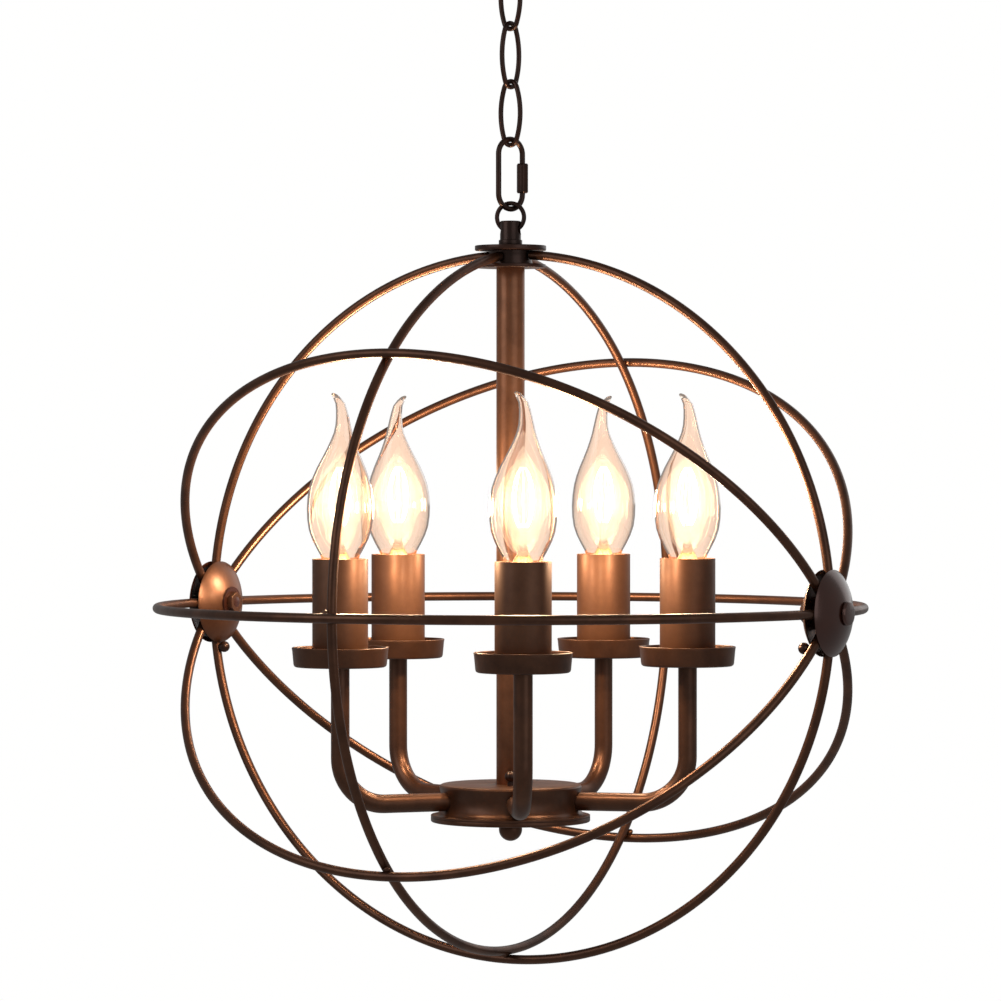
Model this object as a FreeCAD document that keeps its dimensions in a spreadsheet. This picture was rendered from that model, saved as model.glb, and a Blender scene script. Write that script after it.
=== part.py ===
"""Orb chandelier: a cage of bent rods round five candle lamps, hung from a chain.

Millimetres, +Z up. The origin is where the canopy meets the ceiling, and X
runs along the axis of the cage's two side hubs.
"""
import FreeCAD, Part
import math
import os
import Sketcher

V = FreeCAD.Vector
doc = FreeCAD.newDocument("orb_chandelier")

# ---------------------------------------------------------------- sizes
SIZES = [
    # fit
    ("fit_gap", 0.2),            # between pieces that are fixed to each other
    ("link_slack", 0.3),         # between wires that hang in each other
    # ceiling end
    ("canopy_width", 120), ("canopy_height", 26), ("canopy_wall", 1.2),
    ("canopy_round", 14), ("bar_length", 100), ("bar_width", 16), ("bar_thick", 2.5),
    ("screw_spacing", 70), ("screw_hole", 4.5), ("bar_hole", 10.4),
    ("collar_width", 22), ("collar_height", 6), ("collar_edge", 1.2),
    ("stem_width", 9.8), ("hook_radius", 10.5), ("hook_wire", 4.5), ("hook_drop", 12),
    # chain
    ("link_half", 17.15), ("link_side", 6.9), ("link_end", 4.6), ("link_wire", 2.7),
    ("chain_turn", 78), ("wire_sides", 12),
    ("quick_half", 18.75), ("quick_side", 8), ("quick_wire", 3),
    ("quick_turn", 66), ("leg_gap", 5), ("leg_lap", 1),
    ("nut_length", 16), ("nut_width", 6.7), ("nut_drop", 2),
    ("ring_radius", 7.5), ("ring_wire", 2.45), ("ring_foot", 6.3), ("ring_bend", 2.5),
    ("ring_turn", 15),
    # loop stem and top hub
    ("loop_width", 11.3), ("loop_height", 10.3), ("loop_hole_drop", 4.3),
    ("loop_hole", 3.1), ("loop_mouth", 7.4), ("loop_collar", 12.7), ("loop_foot", 3), ("loop_edge", 0.5),
    ("shank_width", 6), ("upper_disc_width", 38.5), ("upper_disc_thick", 2.7),
    ("lower_disc_width", 38), ("lower_disc_thick", 2), ("core_width", 24),
    ("core_height", 7.35), ("disc_edge", 0.4),
    # cage
    ("cage_radius", 190), ("rib_wire", 5), ("rib_step", 45), ("hub_reach", 9),
    ("ring_blend", 35), ("blend_radius", 220),
    # side hubs
    ("dome_width", 45.6), ("dome_height", 8), ("dome_wall", 1.4),
    ("boss_width", 13), ("boss_height", 2), ("nut_thick", 3), ("ball_width", 6.8),
    ("ball_reach", 25), ("post_reach", 14), ("post_turn", 29), ("post_width", 3),
    # centre
    ("tube_width", 15.3), ("tube_bore", 11), ("tube_plug", 12),
    ("drum_top", 95.3), ("drum_width", 77), ("drum_waist", 74), ("drum_rim", 86),
    ("drum_wall", 1.5), ("drum_edge", 1), ("lip_thick", 1.2), ("flange_top", 113), ("base_thick", 2.5),
    ("finial_width", 12.6), ("finial_drop", 119.8), ("stud_grip", 10),
    # arms and candles
    ("arm_circle", 97.5), ("arm_turn", 33), ("arm_step", 72), ("arm_width", 10),
    ("arm_bore", 8), ("arm_bend", 25), ("arm_drop", 104), ("arm_inset", 6),
    ("pan_width", 51.6), ("pan_height", 10.5), ("pan_wall", 1), ("pan_drop", 30.5),
    ("pan_floor", 49.6), ("pan_edge", 1.5),
    ("sleeve_width", 29.7), ("sleeve_wall", 1), ("sleeve_top", 27),
    ("holder_foot", 12), ("holder_top", 22), ("holder_web", 2.5),
    ("cap_width", 14), ("cap_length", 21), ("cap_tip", 3),
    ("bulb_width", 35.4), ("bulb_height", 88), ("bulb_seat", 3.8), ("bulb_wall", 0.9),
    ("tip_bend", 1.8), ("bulb_lift", 1),
]

sheet = doc.addObject("Spreadsheet::Sheet", "Sizes")
for row, (alias, value) in enumerate(SIZES, start=1):
    sheet.set("A%d" % row, alias)
    sheet.set("B%d" % row, str(value))
    sheet.setAlias("B%d" % row, alias)
places = doc.addObject("Spreadsheet::Sheet", "Places")
doc.recompute()


class Dim:
    """A length or angle that knows both its formula and its present value."""

    def __init__(self, text, value):
        self.text, self.value = text, value

    def _join(self, sign, other, value, back=False):
        text = other.text if isinstance(other, Dim) else repr(other)
        pair = (text, self.text) if back else (self.text, text)
        return Dim("(%s %s %s)" % (pair[0], sign, pair[1]), value)

    def __add__(self, other):
        return self._join("+", other, self.value + num(other))

    def __radd__(self, other):
        return self._join("+", other, self.value + num(other), True)

    def __sub__(self, other):
        return self._join("-", other, self.value - num(other))

    def __rsub__(self, other):
        return self._join("-", other, num(other) - self.value, True)

    def __mul__(self, other):
        return self._join("*", other, self.value * num(other))

    def __rmul__(self, other):
        return self._join("*", other, self.value * num(other), True)

    def __truediv__(self, other):
        return self._join("/", other, self.value / num(other))

    def __neg__(self):
        return Dim("(0 - %s)" % self.text, -self.value)


def num(x):
    return x.value if isinstance(x, Dim) else float(x)


def txt(x):
    return x.text if isinstance(x, Dim) else repr(float(x))


def root(x):
    return Dim("sqrt(%s)" % txt(x), math.sqrt(num(x)))


def sine(x):
    return Dim("sin(%s)" % txt(x), math.sin(math.radians(num(x))))


def cosine(x):
    return Dim("cos(%s)" % txt(x), math.cos(math.radians(num(x))))


def arcsine(x):
    return Dim("(asin(%s) / 1 deg)" % txt(x), math.degrees(math.asin(num(x))))


def arccosine(x):
    return Dim("(acos(%s) / 1 deg)" % txt(x), math.degrees(math.acos(num(x))))


S = {alias: Dim("Sizes." + alias, float(sheet.get(alias))) for alias, _ in SIZES}
noted = []


def note(alias, formula):
    """Write a derived place into the second sheet and return it."""
    noted.append(alias)
    row = len(noted)
    places.set("A%d" % row, alias)
    places.set("B%d" % row, "=" + txt(formula))
    places.setAlias("B%d" % row, alias)
    places.recompute()
    return Dim("Places." + alias, num(formula))


# ---------------------------------------------------------------- builders
def put(obj, at=(0, 0, 0), turn=None, axis=V(0, 0, 1), base=None):
    """Place an object; base is a fixed rotation made before the bound turn."""
    spin = FreeCAD.Rotation(axis, num(turn)) if turn is not None else FreeCAD.Rotation()
    if base is not None:
        spin = spin.multiply(base)
    obj.Placement = FreeCAD.Placement(V(*[num(c) for c in at]), spin)
    for letter, c in zip("xyz", at):
        if isinstance(c, Dim):
            obj.setExpression(".Placement.Base." + letter, c.text)
    if isinstance(turn, Dim) and base is None:
        obj.setExpression(".Placement.Rotation.Angle", turn.text)
    return obj


def plane(body, role):
    return [f for f in body.Origin.OriginFeatures if f.Role == role][0]


def sketch_on(body, role, name):
    sk = body.newObject("Sketcher::SketchObject", name)
    sk.AttachmentSupport = [(plane(body, role), "")]
    sk.MapMode = "FlatFace"
    return sk


def bind(sk, kind, args, size):
    """Add one dimension to a sketch and tie it to the sheet."""
    i = sk.addConstraint(Sketcher.Constraint(kind, *args, num(size)))
    if isinstance(size, Dim):
        sk.setExpression("Constraints[%d]" % i, size.text)


def fix_point(sk, geo, end, x, y):
    """Hold a point at (x, y), on an axis where a coordinate is nought."""
    for kind, c, axis in (("DistanceX", x, -2), ("DistanceY", y, -1)):
        if not isinstance(c, Dim) and c == 0:
            sk.addConstraint(Sketcher.Constraint("PointOnObject", geo, end, axis))
        else:
            bind(sk, kind, (-1, 1, geo, end), c)


def outline(sk, points):
    """Draw a closed outline of (x, y) corners; (x, y, r) rounds the corner.

    A fourth entry is the radius of an arc to the next corner, + to its right.
    """
    n = len(points)
    xy = [V(num(p[0]), num(p[1]), 0) for p in points]
    ends = []
    for i, p in enumerate(points):
        a, b = xy[i - 1] - xy[i], xy[(i + 1) % n] - xy[i]
        r = num(p[2]) if len(p) > 2 and p[2] is not None else 0
        cut = r / math.tan(a.getAngle(b) / 2) if r else 0
        ends.append((xy[i] + V(a).normalize() * cut, xy[i] + V(b).normalize() * cut, r))
    lines = []
    for i, p in enumerate(points):
        j = (i + 1) % n
        start, stop = ends[i][1], ends[j][0]
        if len(p) > 3:
            bow = num(p[3])
            half = (stop - start).Length / 2
            side = V(-(stop - start).y, (stop - start).x, 0).normalize()
            sag = abs(bow) - math.sqrt(bow * bow - half * half)
            mid = (start + stop) / 2 + side * (sag if bow > 0 else -sag)
            geo = sk.addGeometry(Part.Arc(start, mid, stop), False)
            first, last = (2, 1) if bow > 0 else (1, 2)
            bind(sk, "Radius", (geo,), abs_dim(p[3]))
        else:
            geo = sk.addGeometry(Part.LineSegment(start, stop), False)
            first, last = 1, 2
        lines.append((geo, first, last))
    for i, p in enumerate(points):
        before, here = lines[i - 1], lines[i]
        if not ends[i][2]:
            sk.addConstraint(Sketcher.Constraint("Coincident", before[0], before[2], here[0], here[1]))
            fix_point(sk, here[0], here[1], p[0], p[1])
            continue
        a, b = V(xy[i - 1] - xy[i]).normalize(), V(xy[(i + 1) % n] - xy[i]).normalize()
        half = a.getAngle(b) / 2
        centre = xy[i] + V(a + b).normalize() * (ends[i][2] / math.sin(half))
        mid = centre + V(xy[i] - centre).normalize() * ends[i][2]
        arc = sk.addGeometry(Part.Arc(ends[i][0], mid, ends[i][1]), False)
        ccw = (a.cross(b)).z < 0
        first, last = (1, 2) if ccw else (2, 1)
        sk.addConstraint(Sketcher.Constraint("Tangent", before[0], before[2], arc, first))
        sk.addConstraint(Sketcher.Constraint("Tangent", arc, last, here[0], here[1]))
        bind(sk, "Radius", (arc,), p[2])
        tip = sk.addGeometry(Part.Point(xy[i]), True)
        sk.addConstraint(Sketcher.Constraint("PointOnObject", tip, 1, before[0]))
        sk.addConstraint(Sketcher.Constraint("PointOnObject", tip, 1, here[0]))
        fix_point(sk, tip, 1, p[0], p[1])


def abs_dim(x):
    return x if num(x) > 0 else -x


def turned(name, points, at=(0, 0, 0), turn=None, axis=V(0, 0, 1), base=None):
    """A body turned about its own Z from an outline of (radius, height)."""
    body = doc.addObject("PartDesign::Body", name)
    body.Label = name
    sk = sketch_on(body, "XZ_Plane", name + "_outline")
    outline(sk, points)
    rev = body.newObject("PartDesign::Revolution", name + "_turned")
    rev.Profile = sk
    rev.ReferenceAxis = (sk, ["V_Axis"])
    rev.Angle = 360
    return put(body, at, turn, axis, base)


def bar(name, bend, wire, start, span, centre=(0, 0)):
    """A bar bent to a circular arc in XZ, angles from +X towards +Z."""
    section = doc.addObject("Part::RegularPolygon", name + "_section")
    section.Polygon = int(num(S["wire_sides"]))
    section.setExpression("Circumradius", txt(wire / 2))
    put(section, (bend, 0, 0))
    arc = doc.addObject("Part::Revolution", name)
    arc.Source = section
    arc.Axis = V(0, -1, 0)
    arc.Base = V(0, 0, 0)
    arc.Solid = True
    arc.setExpression("Angle", txt(span))
    return put(arc, (centre[0], 0, centre[1]), start, V(0, -1, 0))


def fused(name, pieces, at=(0, 0, 0), turn=None, axis=V(0, 0, 1)):
    """Join the stretches of one piece."""
    whole = doc.addObject("Part::MultiFuse", name)
    whole.Shapes = pieces
    whole.Refine = False
    whole.Label = name
    return put(whole, at, turn, axis)


def cut(name, solid, tool, at=(0, 0, 0), turn=None, axis=V(0, 0, 1)):
    left = doc.addObject("Part::Cut", name)
    left.Base, left.Tool = solid, tool
    left.Label = name
    return put(left, at, turn, axis)


def rod(name, radius, height, at=(0, 0, 0), turn=None, axis=V(0, 0, 1)):
    cyl = doc.addObject("Part::Cylinder", name)
    cyl.setExpression("Radius", txt(radius))
    cyl.setExpression("Height", txt(height))
    return put(cyl, at, turn, axis)


def block(name, x, y, z, at):
    box = doc.addObject("Part::Box", name)
    box.setExpression("Length", txt(x))
    box.setExpression("Width", txt(y))
    box.setExpression("Height", txt(z))
    return put(box, at)


def group(name, solids):
    """Separate solids that share one node."""
    set_of = doc.addObject("Part::Compound", name)
    set_of.Links = solids
    set_of.Label = name
    return set_of


parts = {}


def keep(name, obj):
    obj.Label = name
    parts[name] = obj


# ---------------------------------------------------------------- heights
gap = S["fit_gap"]
slack = S["link_slack"]
collar_z = note("collar_z", -S["canopy_height"])
hook_z = note("hook_z", collar_z - S["collar_height"] - S["hook_drop"])
first_z = note("first_z", hook_z - S["hook_radius"] + (S["hook_wire"] + S["link_wire"]) / 2
               + slack - S["link_half"])
pitch = note("pitch", S["link_half"] * 2 - S["link_wire"] - slack)
second_z = note("second_z", first_z - pitch)
third_z = note("third_z", second_z - pitch)
quick_z = note("quick_z", third_z - S["link_half"] + (S["link_wire"] + S["quick_wire"]) / 2
               + slack - S["quick_half"])
ring_z = note("ring_z", quick_z - S["quick_half"] + (S["quick_wire"] + S["ring_wire"]) / 2
              + slack - S["ring_radius"])
hang_z = note("hang_z", ring_z - S["ring_foot"])
loop_z = note("loop_z", hang_z + S["loop_hole_drop"] - S["loop_height"] - S["loop_foot"])
core_half = S["core_width"] / 2
rib_half = S["rib_wire"] / 2
disc_rise = note("disc_rise", root(S["cage_radius"] * S["cage_radius"] - core_half * core_half)
                 + rib_half + gap / 2)
orb_z = note("orb_z", loop_z - S["upper_disc_thick"] - disc_rise)
core_z = note("core_z", orb_z + disc_rise - S["core_height"])
lower_z = note("lower_z", core_z - S["lower_disc_thick"])
base_z = note("base_z", orb_z - S["flange_top"])
arm_z = note("arm_z", orb_z - S["arm_drop"])
pan_z = note("pan_z", orb_z - S["pan_drop"])
seat_z = note("seat_z", pan_z + S["pan_wall"])
sleeve_z = note("sleeve_z", orb_z + S["sleeve_top"])
shank_hole = S["shank_width"] / 2 + gap / 2

# ---------------------------------------------------------------- ceiling end
stem_hole = S["stem_width"] / 2 + gap
half = S["canopy_width"] / 2
wall = S["canopy_wall"]
keep("canopy", turned("canopy", [
    (half, 0), (half, collar_z * 0.35, S["canopy_round"]),
    (half / 2, collar_z, S["canopy_round"] * 2), (stem_hole, collar_z),
    (stem_hole, collar_z + wall), (half / 2, collar_z + wall, S["canopy_round"] * 2 + wall),
    (half - wall, collar_z * 0.35 + wall * 0.4, S["canopy_round"] - wall), (half - wall, 0)]))

bar_blank = block("bar_blank", S["bar_length"], S["bar_width"], S["bar_thick"],
                  (-S["bar_length"] / 2, -S["bar_width"] / 2, -S["bar_thick"]))
bar_holes = group("bar_holes", [
    rod("bar_hole_%d" % i, d / 2, S["bar_thick"] * 2, (x, 0, -S["bar_thick"] * 1.5))
    for i, (d, x) in enumerate(((S["bar_hole"], 0), (S["screw_hole"], S["screw_spacing"] / 2),
                                (S["screw_hole"], -S["screw_spacing"] / 2)))])
keep("crossbar", cut("crossbar", bar_blank, bar_holes))

keep("screw_collar", turned("screw_collar", [
    (stem_hole, 0), (S["collar_width"] / 2, 0),
    (S["collar_width"] / 2, -S["collar_height"] + S["collar_edge"]),
    (S["collar_width"] / 2 - S["collar_edge"], -S["collar_height"]),
    (stem_hole, -S["collar_height"])], (0, 0, collar_z)))

hook_ring = bar("hook_ring", S["hook_radius"], S["hook_wire"], 0, 360)
hook_stem = turned("hook_stem", [
    (0, 0), (S["hook_wire"] / 2, 0), (S["stem_width"] / 2, S["hook_wire"] / 2),
    (S["stem_width"] / 2, -hook_z - S["hook_radius"]), (0, -hook_z - S["hook_radius"])],
    (0, 0, S["hook_radius"]))
keep("hanger_loop", fused("hanger_loop", [hook_ring, hook_stem], (0, 0, hook_z), S["chain_turn"]))


# ---------------------------------------------------------------- chain
def chain_link(name, height, turn):
    """An oval link whose long sides bow out a little."""
    a, b, r, w = S["link_half"], S["link_side"], S["link_end"], S["link_wire"]
    rise = a - r
    bow = (b * b + rise * rise - r * r) / ((b - r) * 2)
    part_way = arcsine(rise / (bow - r))
    pieces = [
        bar(name + "_right", bow, w, 360 - part_way, part_way * 2, (b - bow, 0)),
        bar(name + "_top", r, w, part_way, 180 - part_way * 2, (0, rise)),
        bar(name + "_left", bow, w, 180 - part_way, part_way * 2, (bow - b, 0)),
        bar(name + "_low", r, w, 180 + part_way, 180 - part_way * 2, (0, -rise))]
    keep(name, fused(name, pieces, (0, 0, height), turn))


chain_link("chain_link_1", first_z, S["chain_turn"] + 270)
chain_link("chain_link_2", second_z, S["chain_turn"])
chain_link("chain_link_3", third_z, S["chain_turn"] + 270)


def leg(name, wire, length, at, turn=None, axis=V(0, 0, 1)):
    """A straight stretch with the same section as a bent bar."""
    prism = doc.addObject("Part::Prism", name)
    prism.Polygon = int(num(S["wire_sides"]))
    prism.setExpression("Circumradius", txt(wire / 2))
    prism.setExpression("Height", txt(length))
    return put(prism, at, turn, axis)


straight = S["quick_half"] - S["quick_side"]
nut_low = -S["nut_drop"] - S["nut_length"] / 2
gap_low = nut_low + S["leg_lap"]
gap_high = gap_low + S["leg_gap"]
keep("quick_link", fused("quick_link", [
    bar("quick_top", S["quick_side"], S["quick_wire"], 0, 180, (0, straight)),
    bar("quick_low", S["quick_side"], S["quick_wire"], 180, 180, (0, -straight)),
    leg("quick_left", S["quick_wire"], straight * 2, (-S["quick_side"], 0, -straight)),
    leg("quick_stub", S["quick_wire"], gap_low + straight, (S["quick_side"], 0, -straight)),
    leg("quick_thread", S["quick_wire"], straight - gap_high, (S["quick_side"], 0, gap_high))],
    (0, 0, quick_z), S["quick_turn"]))

nut_body = doc.addObject("Part::Prism", "nut_body")
nut_body.Polygon = 6
nut_body.setExpression("Circumradius", txt(S["nut_width"] / 2))
nut_body.setExpression("Height", txt(S["nut_length"]))
nut_bore = rod("nut_bore", S["quick_wire"] / 2 + slack, S["nut_length"] * 2,
               (0, 0, -S["nut_length"] / 2))
keep("quick_link_nut", cut("quick_link_nut", nut_body, nut_bore, (
    S["quick_side"] * cosine(S["quick_turn"]), S["quick_side"] * sine(S["quick_turn"]),
    quick_z + nut_low), S["quick_turn"]))

inner_reach = S["ring_radius"] - S["ring_bend"]
bend_z = S["ring_foot"] - S["ring_bend"]
bend_x = root(inner_reach * inner_reach - bend_z * bend_z)
bend_turn = arcsine(bend_z / inner_reach)
keep("hanging_ring", fused("hanging_ring", [
    bar("ring_round", S["ring_radius"], S["ring_wire"], 360 - bend_turn, 180 + bend_turn * 2),
    bar("ring_bend_a", S["ring_bend"], S["ring_wire"], 270, 90 - bend_turn, (bend_x, -bend_z)),
    bar("ring_bend_b", S["ring_bend"], S["ring_wire"], 180 + bend_turn, 90 - bend_turn,
        (-bend_x, -bend_z)),
    leg("ring_straight", S["ring_wire"], bend_x * 2, (-bend_x, 0, -S["ring_foot"]), 90, V(0, 1, 0))],
    (0, 0, ring_z), S["ring_turn"]))

# ---------------------------------------------------------------- top hub
grip = S["upper_disc_thick"] + S["core_height"] + S["lower_disc_thick"] + S["stud_grip"]
loop_half = S["loop_width"] / 2
loop_tall = S["loop_foot"] + S["loop_height"]
loop_blank = turned("loop_blank", [
    (0, -grip), (S["shank_width"] / 2, -grip), (S["shank_width"] / 2, 0),
    (S["loop_collar"] / 2, 0), (S["loop_collar"] / 2, S["loop_foot"]),
    (loop_half, S["loop_foot"]), (loop_half, loop_tall - S["loop_edge"]),
    (loop_half - S["loop_edge"], loop_tall), (0, loop_tall)])
reach = loop_half + 1
loop_mouths = turned("loop_mouths", [
    (0, -reach), (S["loop_mouth"] / 2, -reach), (S["loop_hole"] / 2, 0),
    (S["loop_mouth"] / 2, reach), (0, reach)],
    (0, 0, loop_tall - S["loop_hole_drop"]), 90, V(0, 1, 0))
keep("loop_stem", cut("loop_stem", loop_blank, loop_mouths, (0, 0, loop_z), S["ring_turn"]))


def disc(name, width, thick, height, edge):
    """A flat disc with a bored middle and a small chamfer round both edges."""
    keep(name, turned(name, [
        (shank_hole, 0), (width / 2 - edge, 0), (width / 2, edge), (width / 2, thick - edge),
        (width / 2 - edge, thick), (shank_hole, thick)], (0, 0, height)))


disc("upper_disc", S["upper_disc_width"], S["upper_disc_thick"], core_z + S["core_height"],
     S["disc_edge"])
disc("lower_disc", S["lower_disc_width"], S["lower_disc_thick"], lower_z, S["disc_edge"])
disc("top_core", S["core_width"], S["core_height"], core_z, S["disc_edge"])

bore = S["tube_bore"] / 2
tube_half = S["tube_width"] / 2
tube_tall = lower_z - base_z
keep("centre_tube", turned("centre_tube", [
    (shank_hole, 0), (tube_half, 0), (tube_half, tube_tall), (shank_hole, tube_tall),
    (shank_hole, tube_tall - S["tube_plug"]), (bore, tube_tall - S["tube_plug"]),
    (bore, S["tube_plug"]), (shank_hole, S["tube_plug"])], (0, 0, base_z)))

# ---------------------------------------------------------------- cage
hub_turn = arcsine(S["hub_reach"] / S["cage_radius"])
top_turn = arccosine((core_half + gap) / (S["cage_radius"] - rib_half))


def rib(name, step, start, span):
    """A rod of the cage; step counts round the hub axis from the top, forwards."""
    lean = FreeCAD.Rotation(V(0, -1, 0), num(start))
    body = bar(name, S["cage_radius"], S["rib_wire"], 0, span)
    put(body, (0, 0, orb_z), S["rib_step"] * step, V(1, 0, 0), lean)
    keep(name, body)


rib("rib_top_right", 0, hub_turn, top_turn - hub_turn)
rib("rib_top_left", 0, 180 - top_turn, top_turn - hub_turn)
for step, place in enumerate(("upper_front", "front", "lower_front", "bottom", "lower_back",
                              "back", "upper_back"), start=1):
    rib("rib_" + place, step, hub_turn, 180 - hub_turn * 2)

ring_r = S["cage_radius"] - S["rib_wire"] - gap
blend_turn = 90 - S["ring_blend"]
blend_x = (ring_r - S["blend_radius"]) * cosine(blend_turn)
blend_z = (ring_r - S["blend_radius"]) * sine(blend_turn)
meet_turn = arccosine((core_half + gap - blend_x) / (S["blend_radius"] - rib_half))
keep("inner_ring", fused("inner_ring", [
    bar("inner_round", ring_r, S["rib_wire"], 90 + S["ring_blend"], 360 - S["ring_blend"] * 2),
    bar("inner_rise_a", S["blend_radius"], S["rib_wire"], blend_turn, meet_turn - blend_turn,
        (blend_x, blend_z)),
    bar("inner_rise_b", S["blend_radius"], S["rib_wire"], 180 - meet_turn,
        meet_turn - blend_turn, (-blend_x, blend_z))], (0, 0, orb_z), 90))

# ---------------------------------------------------------------- side hubs
dome_half = S["dome_width"] / 2
dome_in = dome_half - S["dome_wall"]
dome_low = S["dome_height"] - S["dome_wall"]
dome_r = (dome_half * dome_half + S["dome_height"] * S["dome_height"]) / (S["dome_height"] * 2)
shell_r = (dome_in * dome_in + dome_low * dome_low) / (dome_low * 2)
rib_out = S["cage_radius"] + rib_half
rib_in = S["cage_radius"] - rib_half
out_x = note("out_x", root(rib_out * rib_out - dome_in * dome_in) + gap)
in_x = note("in_x", root(rib_in * rib_in - dome_half * dome_half) - gap)


def sag(radius, reach):
    """How far a sphere has fallen at a distance from its pole."""
    return radius - root(radius * radius - reach * reach)


def dome(name, x, turn):
    keep(name, turned(name, [
        (dome_half, 0, None, -dome_r), (shank_hole, S["dome_height"] - sag(dome_r, shank_hole)),
        (shank_hole, dome_low - sag(shell_r, shank_hole), None, shell_r), (dome_in, 0)],
        (x, 0, orb_z), turn, V(0, 1, 0)))


dome("right_outer_dome", out_x, 90)
dome("right_inner_dome", in_x, 270)
dome("left_outer_dome", -out_x, 270)
dome("left_inner_dome", -in_x, 90)

spool_r = rib_in * S["hub_reach"] / S["cage_radius"] - gap
spool_end = dome_low - sag(shell_r, spool_r) - gap
spool_long = out_x - in_x + spool_end * 2
bolt_long = out_x - in_x + S["dome_height"] * 2
bolts = []
for side, turn in (("right", 90), ("left", 270)):
    sign = 1 if side == "right" else -1
    bolts.append(turned(side + "_spool", [
        (shank_hole, 0), (spool_r, 0), (spool_r, spool_long), (shank_hole, spool_long)],
        ((in_x - spool_end) * sign, 0, orb_z), turn, V(0, 1, 0)))
    shank = S["shank_width"] / 2
    bolts.append(turned(side + "_bolt", [
        (0, 0), (shank, 0), (shank, bolt_long + S["nut_thick"]),
        (S["boss_width"] / 2, bolt_long + S["nut_thick"]),
        (S["boss_width"] / 2, bolt_long + S["nut_thick"] + S["boss_height"] / 2),
        (S["boss_width"] / 2 - S["boss_height"] / 2, bolt_long + S["nut_thick"] + S["boss_height"]),
        (0, bolt_long + S["nut_thick"] + S["boss_height"])],
        ((in_x - S["dome_height"] - S["nut_thick"]) * sign, 0, orb_z), turn, V(0, 1, 0)))
    nut = doc.addObject("Part::Prism", side + "_nut_blank")
    nut.Polygon = 6
    nut.setExpression("Circumradius", txt(S["shank_width"]))
    nut.setExpression("Height", txt(S["nut_thick"]))
    hole = rod(side + "_nut_hole", shank_hole, S["nut_thick"] * 3, (0, 0, -S["nut_thick"]))
    bolts.append(cut(side + "_nut", nut, hole,
                     ((in_x - S["dome_height"] - S["nut_thick"]) * sign, 0, orb_z), turn, V(0, 1, 0)))
keep("dome_bolts", group("dome_bolts", bolts))

# Ball heads: one under a front rib at the right hub, one on the bottom rib at
# the left hub and one that stands on the drum beside the tube.
ball_far = rib_in - S["ball_width"] / 2 - gap
ball_x = root(ball_far * ball_far - S["ball_reach"] * S["ball_reach"])
slope = S["ball_reach"] * cosine(S["rib_step"])


def ball(name, at):
    sphere = doc.addObject("Part::Sphere", name)
    sphere.setExpression("Radius", txt(S["ball_width"] / 2))
    return put(sphere, at)


post_foot = 1.5
post_at = (S["post_reach"] * sine(S["post_turn"]), -S["post_reach"] * cosine(S["post_turn"]))
post = fused("post_screw", [
    ball("post_ball", (0, 0, S["ball_width"] / 2 + post_foot)),
    rod("post_shank", S["post_width"] / 2, S["ball_width"] / 2 + post_foot)],
    post_at + (orb_z - S["drum_top"],))
keep("ball_screws", group("ball_screws", [
    ball("right_ball", (ball_x, -slope, orb_z - slope)),
    ball("left_ball", (-ball_x, 0, orb_z - S["ball_reach"])), post]))

# ---------------------------------------------------------------- drum
tube_hole = tube_half + gap
drum_r, waist, rim = S["drum_width"] / 2, S["drum_waist"] / 2, S["drum_rim"] / 2
drum_t = S["drum_wall"]
tall = S["flange_top"] - S["drum_top"]
edge = S["drum_edge"]
drum_blank = turned("drum_blank", [
    (tube_hole, tall), (drum_r - edge, tall), (drum_r, tall - edge), (waist, tall * 0.66),
    (waist, tall * 0.34), (drum_r, S["lip_thick"] * 1.4), (rim, S["lip_thick"]), (rim, 0),
    (drum_r - drum_t, 0), (waist - drum_t, tall * 0.34), (waist - drum_t, tall * 0.66),
    (drum_r - edge - drum_t, tall - drum_t), (tube_hole, tall - drum_t)], (0, 0, base_z))
arm_holes = group("arm_holes", [
    put(rod("arm_hole_%d" % i, S["arm_width"] / 2 + gap, drum_r),
        (waist / 2 * cosine(S["arm_turn"] - 90 + S["arm_step"] * i),
         waist / 2 * sine(S["arm_turn"] - 90 + S["arm_step"] * i), arm_z),
        base=FreeCAD.Rotation(V(0, 0, 1), num(S["arm_turn"]) - 90
                              + num(S["arm_step"]) * i).multiply(
            FreeCAD.Rotation(V(0, 1, 0), 90)))
    for i in range(5)])
for hole in arm_holes.Links:
    hole.setExpression("Height", txt(rim))
keep("drum", cut("drum", drum_blank, arm_holes))

keep("base_plate", turned("base_plate", [
    (shank_hole, 0), (rim - edge / 2, 0), (rim, edge / 2), (rim, S["base_thick"]),
    (shank_hole, S["base_thick"])],
    (0, 0, base_z - S["base_thick"])))

ball_r = S["finial_width"] / 2
ball_rise = S["finial_drop"] - S["flange_top"] - S["base_thick"]
flat = root(ball_r * ball_r - ball_rise * ball_rise)
keep("finial", turned("finial", [
    (0, ball_rise + S["base_thick"] + S["stud_grip"]),
    (S["shank_width"] / 2, ball_rise + S["base_thick"] + S["stud_grip"]),
    (S["shank_width"] / 2, ball_rise), (flat, ball_rise, None, ball_r), (0, -ball_r)],
    (0, 0, orb_z - S["finial_drop"])))

# ---------------------------------------------------------------- arms and candles
arm_start = S["drum_width"] / 2 - drum_t - S["arm_inset"]
arm_run = S["arm_circle"] - S["arm_bend"] - arm_start
arm_rise = seat_z + S["holder_foot"] - gap - arm_z


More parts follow.
